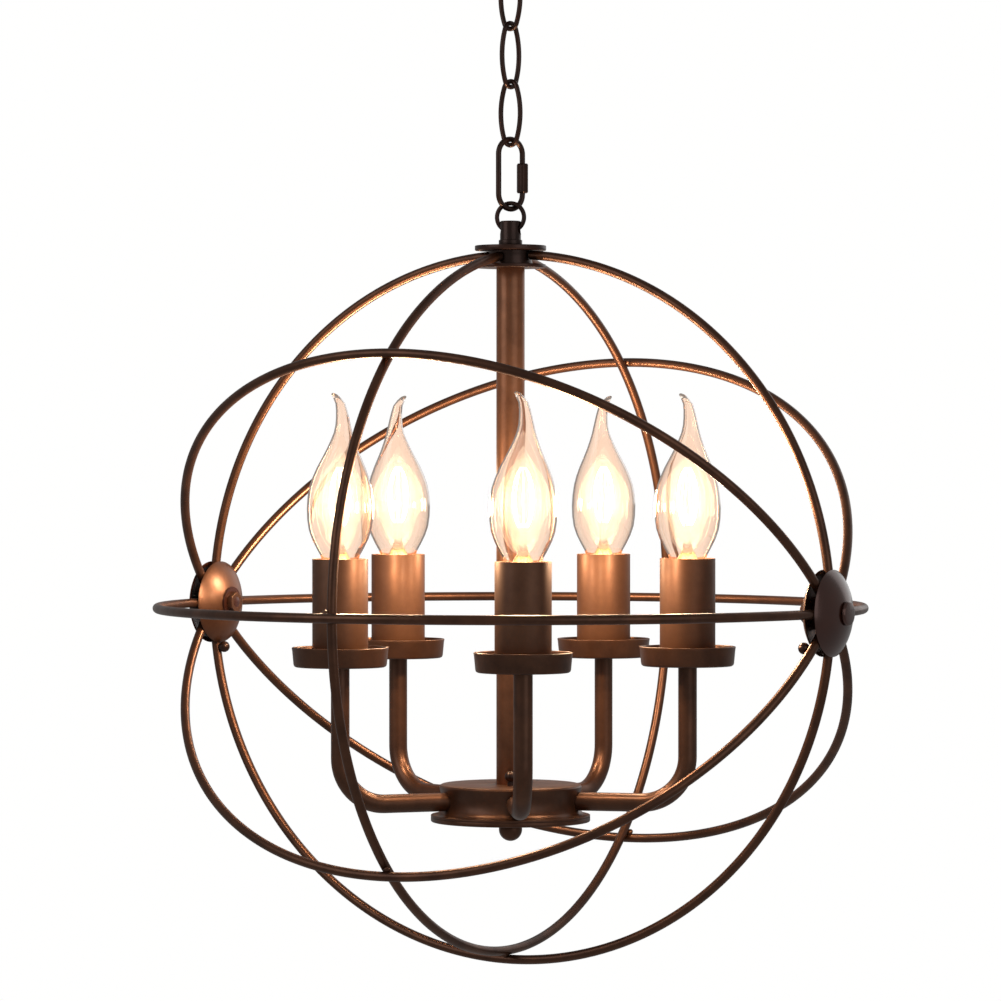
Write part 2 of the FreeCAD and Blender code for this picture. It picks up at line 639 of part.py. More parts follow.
def arm(name, turn):
    """A tube that leaves the drum level and bends up under its candle."""
    body = doc.addObject("PartDesign::Body", name)
    path = sketch_on(body, "XZ_Plane", name + "_path")
    run, bend, rise = num(arm_run), num(S["arm_bend"]), num(arm_rise)
    path.addGeometry(Part.LineSegment(V(0, 0, 0), V(run, 0, 0)), False)
    corner = V(run, bend, 0)
    low = V(math.cos(-math.pi / 4), math.sin(-math.pi / 4), 0) * bend
    path.addGeometry(Part.Arc(V(run, 0, 0), corner + low, V(run + bend, bend, 0)), False)
    path.addGeometry(Part.LineSegment(V(run + bend, bend, 0), V(run + bend, rise, 0)), False)
    path.addConstraint(Sketcher.Constraint("Coincident", 0, 1, -1, 1))
    path.addConstraint(Sketcher.Constraint("Horizontal", 0))
    path.addConstraint(Sketcher.Constraint("Vertical", 2))
    path.addConstraint(Sketcher.Constraint("Tangent", 0, 2, 1, 1))
    path.addConstraint(Sketcher.Constraint("Tangent", 1, 2, 2, 1))
    bind(path, "Radius", (1,), S["arm_bend"])
    bind(path, "DistanceX", (0, 1, 0, 2), arm_run)
    bind(path, "DistanceY", (-1, 1, 2, 2), arm_rise)
    section = sketch_on(body, "YZ_Plane", name + "_section")
    for width in ("arm_width", "arm_bore"):
        circle = section.addGeometry(Part.Circle(V(0, 0, 0), V(0, 0, 1), num(S[width]) / 2), False)
        section.addConstraint(Sketcher.Constraint("Coincident", circle, 3, -1, 1))
        bind(section, "Radius", (circle,), S[width] / 2)
    pipe = body.newObject("PartDesign::AdditivePipe", name + "_pipe")
    pipe.Profile = section
    pipe.Spine = (path, [])
    put(body, (arm_start * cosine(turn), arm_start * sine(turn), arm_z), turn)
    keep(name, body)


pan_half, floor_half = S["pan_width"] / 2, S["pan_floor"] / 2
arm_hole = S["arm_width"] / 2 + gap
sleeve_half = S["sleeve_width"] / 2
sleeve_in = sleeve_half - S["sleeve_wall"]
holder_half = sleeve_in - gap
glass_z = sleeve_z - S["bulb_seat"]
cap_half = S["cap_width"] / 2
cap_low = glass_z - S["cap_length"] - seat_z
cup_low = cap_low - S["cap_tip"] - gap * 2
holder_tall = S["holder_top"] + S["pan_drop"] - S["pan_wall"]
# Half widths of the glass up its height, with how far the axis has strayed.
GLASS = ((0, 0.49, 0), (0.043, 0.555, 0), (0.155, 0.845, 0), (0.265, 0.985, 0), (0.362, 1, 0),
         (0.458, 0.935, 0.05), (0.562, 0.745, 0.25), (0.667, 0.46, 0.65), (0.763, 0.27, 0.9),
         (0.825, 0.2, 0.85), (0.925, 0.15, 0.3), (1, 0.085, -2.2))


def glass(name, at, turn):
    """A flame-shaped bulb of clear glass, open at the neck, with a bent tip."""
    tall = S["bulb_height"] + S["bulb_seat"]
    shells = []
    for skin, inset, stations in (("out", 0, GLASS), ("in", S["bulb_wall"], GLASS[:-2])):
        rings = []
        for i, (up, wide, stray) in enumerate(stations):
            ring = doc.addObject("Part::Circle", "%s_%s_%d" % (name, skin, i))
            ring.setExpression("Radius", txt(S["bulb_width"] / 2 * wide - inset))
            put(ring, (S["tip_bend"] * stray, 0, tall * up))
            rings.append(ring)
        loft = doc.addObject("Part::Loft", name + "_" + skin)
        loft.Sections = rings
        loft.Solid = True
        loft.Ruled = True
        shells.append(loft)
    keep(name, cut(name, shells[0], shells[1], at, turn))


holders = []
TIPS = (30, 15, 195, 205, 25)
for i, spot in enumerate(("front", "right_front", "right_back", "left_back", "left_front")):
    turn = S["arm_turn"] + S["arm_step"] * i + 270
    x, y = S["arm_circle"] * cosine(turn), S["arm_circle"] * sine(turn)
    arm("arm_" + spot, turn)
    keep("pan_" + spot, turned("pan_" + spot, [
        (arm_hole, 0), (floor_half - S["pan_edge"], 0), (floor_half, S["pan_edge"]),
        (pan_half, S["pan_height"]), (pan_half - S["pan_wall"], S["pan_height"]),
        (floor_half - S["pan_wall"], S["pan_edge"]),
        (floor_half - S["pan_edge"], S["pan_wall"]), (arm_hole, S["pan_wall"])], (x, y, pan_z)))
    keep("sleeve_" + spot, turned("sleeve_" + spot, [
        (sleeve_in, 0), (sleeve_half, 0), (sleeve_half, sleeve_z - seat_z),
        (sleeve_in, sleeve_z - seat_z)], (x, y, seat_z)))
    holders.append(turned("holder_" + spot, [
        (S["arm_width"] / 2 + gap / 2, 0), (holder_half, 0), (holder_half, holder_tall),
        (cap_half + gap * 1.5, holder_tall), (cap_half + gap * 1.5, cup_low), (0, cup_low),
        (0, cup_low - S["holder_web"]), (S["arm_width"] / 2 + gap / 2, cup_low - S["holder_web"])],
        (x, y, seat_z)))
    keep("cap_" + spot, turned("cap_" + spot, [
        (0, -S["cap_length"] - S["cap_tip"]), (2.2, -S["cap_length"] - S["cap_tip"]),
        (cap_half, -S["cap_length"]), (cap_half, 0), (0, 0)], (x, y, glass_z)))
    glass("glass_" + spot, (x, y, glass_z), TIPS[i])
keep("lamp_holders", group("lamp_holders", holders))

# ---------------------------------------------------------------- output
doc.recompute()
for obj in doc.Objects:
    if "Invalid" in obj.State or "Error" in obj.State:
        raise RuntimeError("%s did not build: %s" % (obj.Name, obj.State))
for name, obj in parts.items():
    if obj.Shape.isNull() or not obj.Shape.isValid() or not obj.Shape.Solids:
        raise RuntimeError("%s has no valid shape" % name)
os.makedirs("parts", exist_ok=True)
for name, obj in parts.items():
    obj.Shape.exportStep("parts/%s.step" % name)
    print("%-18s %2d solids %10.1f mm3" % (name, len(obj.Shape.Solids), obj.Shape.Volume))
print(len(parts), "nodes, orb centre at", round(num(orb_z), 3))
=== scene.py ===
"""Orb chandelier: the finished look of a round cage of rods about five lit candle lamps.

Lengths are in millimetres in the sizes below and turned to metres when a piece
is made. The lamp hangs from the ceiling plane at z = 0, and X runs along the
axis of the cage's two side hubs.
"""
import logging
import math
from dataclasses import dataclass, field
from enum import Enum
from typing import Sequence

import bpy
from mathutils import Matrix, Vector


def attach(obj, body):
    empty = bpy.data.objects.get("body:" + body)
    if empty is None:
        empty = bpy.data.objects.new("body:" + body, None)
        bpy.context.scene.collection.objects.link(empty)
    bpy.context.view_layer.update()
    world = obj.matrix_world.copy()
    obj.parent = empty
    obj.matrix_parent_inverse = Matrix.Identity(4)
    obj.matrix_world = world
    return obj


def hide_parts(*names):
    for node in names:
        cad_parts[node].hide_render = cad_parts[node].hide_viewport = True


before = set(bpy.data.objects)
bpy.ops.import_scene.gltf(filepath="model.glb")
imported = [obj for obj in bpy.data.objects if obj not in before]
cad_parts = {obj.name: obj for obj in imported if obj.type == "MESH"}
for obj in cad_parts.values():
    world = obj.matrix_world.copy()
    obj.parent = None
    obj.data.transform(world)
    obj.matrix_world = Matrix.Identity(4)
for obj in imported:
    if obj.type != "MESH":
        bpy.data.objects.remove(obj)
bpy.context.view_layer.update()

MM = 0.001
# Corners nearer than this many metres are merged.
DOUBLES = 1e-6
# Edges flatter than this many degrees are shaded smooth.
SHARP = 35.0
Point = tuple[float, float, float]
# The bulb's outside from its sleeve upwards: radius, height over the sleeve's rim, and how far
# the axis has strayed there, all in millimetres.
GLASS = ((8.7, -3.8, 0), (9.6, -1.0, 0), (10.6, 2.0, 0), (12.6, 5.6, 0), (15.0, 10.5, 0),
         (16.7, 15.5, 0), (17.5, 21, 0), (17.7, 27, 0), (17.3, 33, 0), (16.4, 38.5, 0.1),
         (14.9, 43.5, 0.3), (12.9, 48.5, 0.5), (10.5, 53.5, 0.8), (8.2, 58.5, 1.1),
         (6.4, 63, 1.4), (5.0, 67, 1.6), (4.1, 71, 1.6), (3.5, 75, 1.3), (3.0, 79, 0.8),
         (2.6, 82.5, 0.1), (2.1, 85.5, -1.7), (1.5, 87.4, -3.2), (0.8, 87.9, -3.7))
log = logging.getLogger("orb chandelier")


class Spot(Enum):
    """The five candles, named by where they stand."""

    FRONT = "front"
    RIGHT_FRONT = "right_front"
    RIGHT_BACK = "right_back"
    LEFT_BACK = "left_back"
    LEFT_FRONT = "left_front"


class Slot(Enum):
    """The names of the material slots."""

    BRONZE = "bronze"
    SLEEVE = "sleeve_bronze"
    ZINC = "zinc"
    GLASS = "bulb_glass"
    CAP = "bulb_cap"
    HOLDER = "holder"


# ------------------------------------------------------------------ bench
class Bench:
    """The moves every piece is shaped with, as by hand in edit mode."""

    @staticmethod
    def clear() -> None:
        """Leave edit mode and deselect everything."""
        if bpy.context.object and bpy.context.object.mode != "OBJECT":
            bpy.ops.object.mode_set(mode="OBJECT")
        bpy.ops.object.select_all(action="DESELECT")

    @staticmethod
    def ring(radius: float, at: Point, turn: Point = (0, 0, 0), sides: int = 16) -> None:
        """Start a piece from an open ring of edges and enter edit mode.

        Args:
            radius: The ring's radius in millimetres.
            at: Its centre in millimetres.
            turn: Its rotation in degrees; unturned, it lies in XY.
            sides: How many edges it has.
        """
        Bench.clear()
        bpy.ops.mesh.primitive_circle_add(
            vertices=sides, radius=radius * MM, fill_type="NOTHING",
            location=Vector(at) * MM, rotation=[math.radians(t) for t in turn])
        bpy.ops.object.transform_apply(location=True, rotation=True, scale=True)
        bpy.ops.object.mode_set(mode="EDIT")
        bpy.ops.mesh.select_mode(type="VERT")
        bpy.ops.mesh.select_all(action="SELECT")

    @staticmethod
    def push(move: Point) -> None:
        """Extrude what is selected by a move in millimetres."""
        bpy.ops.mesh.extrude_region_move(
            TRANSFORM_OT_translate={"value": Vector(move) * MM})

    @staticmethod
    def spin(angle: float, centre: Point, axis: Point, steps: int) -> None:
        """Extrude what is selected round an axis.

        Args:
            angle: Right-handed turn in degrees.
            centre: A point on the axis in millimetres.
            axis: The axis of the turn.
            steps: How many steps the turn has.
        """
        bpy.ops.mesh.spin(steps=steps, angle=-math.radians(angle),
                          center=Vector(centre) * MM, axis=axis)

    @staticmethod
    def open_edges() -> None:
        """Select the edges round every opening of the piece."""
        bpy.ops.mesh.select_all(action="DESELECT")
        bpy.ops.mesh.select_mode(type="EDGE")
        bpy.ops.mesh.select_non_manifold(extend=False, use_wire=False, use_boundary=True,
                                         use_multi_face=False, use_non_contiguous=False,
                                         use_verts=False)

    @staticmethod
    def cap() -> None:
        """Close the open rings of the piece."""
        Bench.open_edges()
        bpy.ops.mesh.edge_face_add()

    @staticmethod
    def done(name: str, smooth: float = SHARP, bevel: float = 0.0) -> bpy.types.Object:
        """Merge doubles, turn the faces outwards and leave edit mode.

        Args:
            name: The piece's name.
            smooth: Edges flatter than this many degrees are shaded smooth.
            bevel: Width in millimetres of a rounding on the sharp edges.

        Returns:
            The finished object, at the origin and unturned.
        """
        bpy.ops.mesh.select_all(action="SELECT")
        bpy.ops.mesh.remove_doubles(threshold=DOUBLES)
        bpy.ops.mesh.normals_make_consistent(inside=False)
        bpy.ops.object.mode_set(mode="OBJECT")
        piece = bpy.context.object
        piece.name = piece.data.name = name
        if bevel:
            rounding = piece.modifiers.new("rounding", "BEVEL")
            rounding.width = bevel * MM
            rounding.segments = 2
            rounding.limit_method = "ANGLE"
            rounding.angle_limit = math.radians(40)
            rounding.use_clamp_overlap = True
            bpy.ops.object.modifier_apply(modifier=rounding.name)
        bpy.ops.object.shade_smooth_by_angle(angle=math.radians(smooth))
        return piece

    @staticmethod
    def lathe(name: str, outline: Sequence[tuple[float, float]], at: Point = (0, 0, 0),
              closed: bool = True, steps: int = 64, bevel: float = 0.0,
              smooth: float = SHARP) -> bpy.types.Object:
        """Turn an outline about an upright axis.

        Args:
            name: The piece's name.
            outline: (radius, height) corners in millimetres.
            at: Where the outline's axis and zero height lie, in millimetres.
            closed: Whether the outline runs back to its first corner.
            steps: Steps of the full turn.
            bevel: Rounding of the sharp edges in millimetres.
            smooth: Edges flatter than this many degrees are shaded smooth.

        Returns:
            The turned piece.
        """
        Bench.clear()
        first = Vector((outline[0][0], 0, outline[0][1]))
        bpy.ops.mesh.primitive_plane_add(size=1e-3, location=(0, 0, 0))
        bpy.ops.object.mode_set(mode="EDIT")
        bpy.ops.mesh.select_mode(type="VERT")
        bpy.ops.mesh.select_all(action="SELECT")
        bpy.ops.mesh.merge(type="CENTER")
        bpy.ops.transform.translate(value=(first + Vector(at)) * MM)
        last = first
        corners = list(outline[1:]) + ([outline[0]] if closed else [])
        for radius, height in corners:
            here = Vector((radius, 0, height))
            Bench.push(here - last)
            last = here
        bpy.ops.mesh.select_all(action="SELECT")
        bpy.ops.mesh.remove_doubles(threshold=DOUBLES)
        Bench.spin(360, at, (0, 0, 1), steps)
        return Bench.done(name, smooth, bevel)

    @staticmethod
    def place(piece: bpy.types.Object, move: Point = (0, 0, 0), turn: float = 0.0,
              axis: str = "Z") -> bpy.types.Object:
        """Turn a finished piece about the origin, move it and apply both.

        Args:
            piece: The object.
            move: The move in millimetres, made after the turn.
            turn: Right-handed turn in degrees.
            axis: The axis of the turn.

        Returns:
            The same piece.
        """
        piece.matrix_world = (Matrix.Translation(Vector(move) * MM)
                              @ Matrix.Rotation(math.radians(turn), 4, axis)
                              @ piece.matrix_world)
        Bench.clear()
        piece.select_set(True)
        bpy.context.view_layer.objects.active = piece
        bpy.ops.object.transform_apply(location=True, rotation=True, scale=True)
        return piece

    @staticmethod
    def repeat(piece: bpy.types.Object, names: Sequence[str]) -> list[bpy.types.Object]:
        """Copy a piece until there is one for each name, each with a mesh of its own.

        Args:
            piece: The modelled piece, which becomes the first.
            names: The pieces' names.

        Returns:
            The pieces in the names' order.
        """
        pieces = [piece]
        for _ in names[1:]:
            twin = piece.copy()
            twin.data = piece.data.copy()
            bpy.context.collection.objects.link(twin)
            pieces.append(twin)
        for twin, name in zip(pieces, names):
            twin.name = twin.data.name = name
        return pieces

    @staticmethod
    def join(name: str, pieces: Sequence[bpy.types.Object]) -> bpy.types.Object:
        """Join several objects into one.

        Args:
            name: The whole's name.
            pieces: The objects, of which the first takes in the others.

        Returns:
            The whole.
        """
        Bench.clear()
        for piece in pieces:
            piece.select_set(True)
        bpy.context.view_layer.objects.active = pieces[0]
        bpy.ops.object.join()
        whole = bpy.context.object
        whole.name = whole.data.name = name
        return whole


def dress(piece: bpy.types.Object, material: bpy.types.Material, body: str, slot: Slot,
          *nodes: str) -> bpy.types.Object:
    """Give a piece its finish, its body and the nodes it stands for.

    Args:
        piece: The object.
        material: Its finish.
        body: The body it moves with.
        slot: Not used.
        nodes: The nodes that it replaces.

    Returns:
        The same piece.
    """
    piece.data.materials.clear()
    piece.data.materials.append(material)
    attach(piece, body)
    if nodes:
        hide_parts(*nodes)
    log.info("%s rides on %s", piece.name, body)
    return piece


def refinish(node: str, material: bpy.types.Material) -> None:
    """Give a CAD node that stays in view a finish of its own.

    Args:
        node: The node's name.
        material: Its finish.
    """
    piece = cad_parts[node]
    piece.data.materials.clear()
    piece.data.materials.append(material)
    log.info("%s has its finish", node)


# ------------------------------------------------------------------ finishes
def mottle_group() -> bpy.types.NodeTree:
    """Build the shared effect of uneven patina with fine grain.

    Returns:
        A node group with Scale and Contrast in, and Mask and Grain out.
    """
    group = bpy.data.node_groups.new("mottle", "ShaderNodeTree")
    group.interface.new_socket("Scale", in_out="INPUT", socket_type="NodeSocketFloat")
    group.interface.new_socket("Contrast", in_out="INPUT", socket_type="NodeSocketFloat")
    group.interface.new_socket("Mask", in_out="OUTPUT", socket_type="NodeSocketFloat")
    group.interface.new_socket("Grain", in_out="OUTPUT", socket_type="NodeSocketFloat")
    nodes, links = group.nodes, group.links
    inp, out = nodes.new("NodeGroupInput"), nodes.new("NodeGroupOutput")
    coord = nodes.new("ShaderNodeTexCoord")
    cloud = nodes.new("ShaderNodeTexNoise")
    cloud.inputs["Detail"].default_value = 6.0
    cloud.inputs["Roughness"].default_value = 0.62
    fine = nodes.new("ShaderNodeTexNoise")
    fine.inputs["Detail"].default_value = 3.0
    finer = nodes.new("ShaderNodeMath")
    finer.operation = "MULTIPLY"
    finer.inputs[1].default_value = 14.0
    lift = nodes.new("ShaderNodeMath")
    lift.operation = "SUBTRACT"
    lift.inputs[1].default_value = 0.5
    gain = nodes.new("ShaderNodeMath")
    gain.operation = "MULTIPLY_ADD"
    gain.use_clamp = True
    gain.inputs[2].default_value = 0.5
    links.new(coord.outputs["Object"], cloud.inputs["Vector"])
    links.new(coord.outputs["Object"], fine.inputs["Vector"])
    links.new(inp.outputs["Scale"], cloud.inputs["Scale"])
    links.new(inp.outputs["Scale"], finer.inputs[0])
    links.new(finer.outputs[0], fine.inputs["Scale"])
    links.new(cloud.outputs["Fac"], lift.inputs[0])
    links.new(lift.outputs[0], gain.inputs[0])
    links.new(inp.outputs["Contrast"], gain.inputs[1])
    links.new(gain.outputs[0], out.inputs["Mask"])
    links.new(fine.outputs["Fac"], out.inputs["Grain"])
    return group


@dataclass(frozen=True)
class Metal:
    """A painted or plated metal with an uneven patina.

    Attributes:
        name: The material's name.
        dark: Colour of the deep patina.
        light: Colour where the patina is thin.
        metallic: How metallic the finish is.
        smoothness: Roughness of the thin and the deep patina.
        scale: Size of the patina's clouds.
        contrast: How strongly the clouds show.
        grain: Strength of the fine bump.
        coat: Weight of the clear lacquer.
    """

    name: str
    dark: Point
    light: Point
    metallic: float = 0.75
    smoothness: tuple[float, float] = (0.34, 0.46)
    scale: float = 60.0
    contrast: float = 2.2
    grain: float = 0.06
    coat: float = 0.15

    def make(self, mottle: bpy.types.NodeTree) -> bpy.types.Material:
        """Build the material.

        Args:
            mottle: The shared patina group.

        Returns:
            The material.
        """
        material = bpy.data.materials.new(self.name)
        material.use_nodes = True
        nodes, links = material.node_tree.nodes, material.node_tree.links
        shader = nodes["Principled BSDF"]
        shader.inputs["Metallic"].default_value = self.metallic
        shader.inputs["Coat Weight"].default_value = self.coat
        shader.inputs["Coat Roughness"].default_value = 0.25
        patina = nodes.new("ShaderNodeGroup")
        patina.node_tree = mottle
        patina.inputs["Scale"].default_value = self.scale
        patina.inputs["Contrast"].default_value = self.contrast
        colour = nodes.new("ShaderNodeMix")
        colour.data_type = "RGBA"
        colour.inputs["A"].default_value = (*self.dark, 1)
        colour.inputs["B"].default_value = (*self.light, 1)
        rough = nodes.new("ShaderNodeMapRange")
        rough.inputs["To Min"].default_value = self.smoothness[1]
        rough.inputs["To Max"].default_value = self.smoothness[0]
        bump = nodes.new("ShaderNodeBump")
        bump.inputs["Strength"].default_value = self.grain
        bump.inputs["Distance"].default_value = 0.0002
        links.new(patina.outputs["Mask"], colour.inputs["Factor"])
        links.new(patina.outputs["Mask"], rough.inputs["Value"])
        links.new(patina.outputs["Grain"], bump.inputs["Height"])
        links.new(colour.outputs["Result"], shader.inputs["Base Color"])
        links.new(rough.outputs["Result"], shader.inputs["Roughness"])
        links.new(bump.outputs["Normal"], shader.inputs["Normal"])
        return material


@dataclass(frozen=True)
class Lit:
    """A surface that glows by itself.

    Attributes:
        name: The material's name.
        colour: Its own colour.
        glow: The colour of its light.
        strength: How bright it is.
        alpha: How much of what lies behind it it hides.
        transmission: How glassy it is.
    """

    name: str
    colour: Point
    glow: Point
    strength: float
    alpha: float = 1.0
    transmission: float = 0.0

    def make(self) -> bpy.types.Material:
        """Build the material, with a faint unevenness in its own colour.

        Returns:
            The material.
        """
        material = bpy.data.materials.new(self.name)
        material.use_nodes = True
        material.cycles.emission_sampling = "NONE"
        nodes, links = material.node_tree.nodes, material.node_tree.links
        shader = nodes["Principled BSDF"]
        shader.inputs["Roughness"].default_value = 0.03
        shader.inputs["Transmission Weight"].default_value = self.transmission
        shader.inputs["IOR"].default_value = 1.45 if self.transmission else 1.5
        shader.inputs["Alpha"].default_value = self.alpha
        shader.inputs["Emission Strength"].default_value = self.strength
        shader.inputs["Emission Color"].default_value = (*self.glow, 1)
        coord = nodes.new("ShaderNodeTexCoord")
        cloud = nodes.new("ShaderNodeTexNoise")
        cloud.inputs["Scale"].default_value = 45.0
        tint = nodes.new("ShaderNodeMix")
        tint.data_type = "RGBA"
        tint.inputs["A"].default_value = (*[c * 0.94 for c in self.colour], 1)
        tint.inputs["B"].default_value = (*self.colour, 1)
        links.new(coord.outputs["Object"], cloud.inputs["Vector"])
        links.new(cloud.outputs["Fac"], tint.inputs["Factor"])
        links.new(tint.outputs["Result"], shader.inputs["Base Color"])
        return material


@dataclass
class Finishes:
    """Every material of the lamp, made once."""

    bronze: bpy.types.Material = field(init=False)
    arm: bpy.types.Material = field(init=False)
    chain: bpy.types.Material = field(init=False)
    polished: bpy.types.Material = field(init=False)
    tube: bpy.types.Material = field(init=False)
    sleeve: bpy.types.Material = field(init=False)
    zinc: bpy.types.Material = field(init=False)
    brass: bpy.types.Material = field(init=False)
    holder: bpy.types.Material = field(init=False)
    glass: bpy.types.Material = field(init=False)
    stem: bpy.types.Material = field(init=False)
    filament: bpy.types.Material = field(init=False)
    glow: list[bpy.types.Material] = field(init=False)

    def __post_init__(self) -> None:
        """Mix the finishes."""
        mottle = mottle_group()
        self.bronze = Metal("oil rubbed bronze", (0.060, 0.025, 0.014), (0.140, 0.058, 0.030),
                            0.8, (0.30, 0.40), grain=0.015).make(mottle)
        self.arm = Metal("arm bronze", (0.066, 0.027, 0.014), (0.135, 0.056, 0.028),
                         0.7, (0.32, 0.42)).make(mottle)
        self.chain = Metal("blackened bronze", (0.024, 0.011, 0.008), (0.055, 0.022, 0.014),
                           0.7, (0.24, 0.36)).make(mottle)
        self.polished = Metal("polished dark bronze", (0.038, 0.011, 0.007),
                              (0.090, 0.026, 0.015), 0.6, (0.16, 0.26), 40.0, 1.6, 0.03,
                              0.7).make(mottle)
        # Painted light: a lighter copy of the bronze for the centre tube, standing in for the
        # light that falls on it.
        self.tube = Metal("lit tube bronze", (0.100, 0.043, 0.023), (0.230, 0.100, 0.052),
                          0.75, (0.28, 0.38), 80.0, 1.8, 0.05, 0.1).make(mottle)
        self.sleeve = Metal("satin brown sleeve", (0.100, 0.040, 0.019),
                            (0.165, 0.070, 0.034), 0.55, (0.42, 0.52), 90.0, 1.4,
                            0.03, 0.05).make(mottle)
        self.zinc = Metal("zinc plate", (0.42, 0.42, 0.40), (0.66, 0.66, 0.62), 1.0,
                          (0.3, 0.42), 120.0).make(mottle)
        self.brass = Metal("brass cap", (0.45, 0.30, 0.12), (0.72, 0.52, 0.24), 1.0,
                           (0.22, 0.34), 120.0).make(mottle)
        self.holder = Metal("dark phenolic", (0.030, 0.026, 0.024), (0.060, 0.052, 0.048), 0.0,
                            (0.4, 0.5), 150.0, 1.0, 0.05, 0.0).make(mottle)
        self.glass = Lit("faintly amber glass", (1.0, 0.86, 0.76), (1.0, 0.62, 0.38), 0.03,
                         1.0, 1.0).make()
        self.stem = Lit("glass stem", (1.0, 0.93, 0.86), (1.0, 0.80, 0.58), 0.15,
                        1.0, 1.0).make()
        self.filament = Lit("glowing filament", (0.9, 0.6, 0.3), (1.0, 0.82, 0.55), 14.0).make()
        self.glow = [Lit("inner glow", (0.02, 0.02, 0.02), (1.0, 0.95, 0.84), 1.25, 0.36).make(),
                     Lit("middle glow", (0.02, 0.02, 0.02), (1.0, 0.86, 0.72), 1.1, 0.26).make(),
                     Lit("outer glow", (0.02, 0.02, 0.02), (1.0, 0.78, 0.64), 0.95, 0.20).make()]


# ------------------------------------------------------------------ ceiling end and chain
@dataclass
class CeilingEnd:
    """Canopy, crossbar, screw collar and hanger loop, from the ceiling at height 0 down.

    Attributes:
        finishes: The lamp's materials.
        half: Radius of the canopy's rim.
        drop: Depth of the canopy.
        wall: Thickness of its sheet.
        stem: Radius of the holes that the hanger's shank passes.
        collar: Radius of the screw collar.
        flutes: Flutes and ridges round the collar.
        flute_depth: Depth of a flute as a share of the collar's radius.
        hook_z: Height of the hanger's eye.
        hook_radius: Radius of the eye on its wire's centre.
        hook_wire: Radius of its wire.
        hook_turn: Turn of the eye about the chain's line.
        shank: Radius of the hanger's shank.
        shank_top: Height of the shank's end over the eye.
    """

    finishes: Finishes
    half: float = 60.0
    drop: float = 26.0
    wall: float = 1.2
    stem: float = 5.1
    collar: float = 11.0
    flutes: int = 64
    flute_depth: float = 0.012
    hook_z: float = -44.0
    hook_radius: float = 10.5
    hook_wire: float = 2.25
    hook_turn: float = 78.0
    shank: float = 4.9
    shank_top: float = 43.9

    def build(self) -> None:
        """Make the pieces at the ceiling."""
        outer = self.dome_outline(self.half, self.drop)
        inner = self.dome_outline(self.half - self.wall, self.drop - self.wall)
        canopy = Bench.lathe("canopy_dish", [*outer, (self.stem, -self.drop),
                                             (self.stem, -self.drop + self.wall),
                                             *reversed(inner)], steps=96, bevel=0.3)
        dress(canopy, self.finishes.bronze, "ceiling_end", Slot.BRONZE, "canopy")
        dress(self.screw_collar(), self.finishes.bronze, "ceiling_end", Slot.BRONZE,
              "screw_collar")
        dress(self.hook(), self.finishes.chain, "ceiling_end", Slot.BRONZE, "hanger_loop")
        refinish("crossbar", self.finishes.zinc)

    @staticmethod
    def dome_outline(half: float, drop: float) -> list[tuple[float, float]]:
        """Lay out the canopy's curve from rim to middle.

        Args:
            half: Radius of the rim.
            drop: Depth of the dish.

        Returns:
            (radius, height) corners from the rim inwards.
        """
        knee = [(1.0, 0.0), (1.0, 0.12), (0.985, 0.22), (0.95, 0.34), (0.89, 0.48), (0.80, 0.62),
                (0.68, 0.76), (0.56, 0.88), (0.46, 0.955), (0.36, 0.99), (0.26, 1.0)]
        return [(half * r, -drop * z) for r, z in knee]

    def screw_collar(self) -> bpy.types.Object:
        """Turn the collar and press shallow flutes into its widest band.

        Returns:
            The collar under the canopy.
        """
        top, wide = -self.drop, self.collar
        collar = Bench.lathe("knurled_collar", [
            (self.stem, top), (wide - 0.8, top), (wide, top - 0.8), (wide, top - 4),
            (wide - 0.8, top - 5.2), (wide - 2.4, top - 6), (self.stem, top - 6)], bevel=0.3)
        band = (wide - 0.4) * MM
        for vertex in collar.data.vertices:
            if math.hypot(vertex.co.x, vertex.co.y) > band:
                angle = math.atan2(vertex.co.y, vertex.co.x)
                pinch = 1 - self.flute_depth * (round(angle / math.tau * self.flutes) % 2)
                vertex.co.x *= pinch
                vertex.co.y *= pinch
        return collar

    def hook(self) -> bpy.types.Object:
        """Make the eye that carries the chain, with its shank.

        Returns:
            The hanger at its place.
        """
        Bench.ring(self.hook_wire, (self.hook_radius, 0, 0), sides=20)
        Bench.spin(360, (0, 0, 0), (0, -1, 0), 64)
        eye = Bench.done("eye")
        low = self.hook_radius
        shank = Bench.lathe("shank", [
            (0, low - 1.0), (2.4, low - 0.6), (3.4, low + 0.6), (4.6, low + 1.9),
            (self.shank, low + 2.6), (self.shank, self.shank_top), (0, self.shank_top)],
            closed=False, steps=40, bevel=0.2)
        whole = Bench.join("hanging_eye", [eye, shank])
        return Bench.place(whole, (0, 0, self.hook_z), self.hook_turn)


class Wire:
    """Round bar bent in the XZ plane, stretch by stretch."""

    def __init__(self, radius: float, start: tuple[float, float], sides: int = 16) -> None:
        """Cut the bar's first section, facing along Z.

        Args:
            radius: The bar's radius.
            start: (x, z) of the section's centre.
            sides: Facets round the bar.
        """
        Bench.ring(radius, (start[0], 0, start[1]), sides=sides)

    def bend(self, centre: tuple[float, float], angle: float, steps: int) -> "Wire":
        """Bend on about a centre, + from X towards Z."""
        Bench.spin(angle, (centre[0], 0, centre[1]), (0, -1, 0), steps)
        return self

    def run(self, move: tuple[float, float]) -> "Wire":
        """Run straight on."""
        Bench.push((move[0], 0, move[1]))
        return self

    def finish(self, name: str, closed: bool = True) -> bpy.types.Object:
        """Close or cap the bar.

        Args:
            name: The piece's name.
            closed: Whether its ends meet.

        Returns:
            The finished bar.
        """
        if not closed:
            Bench.cap()
        return Bench.done(name)


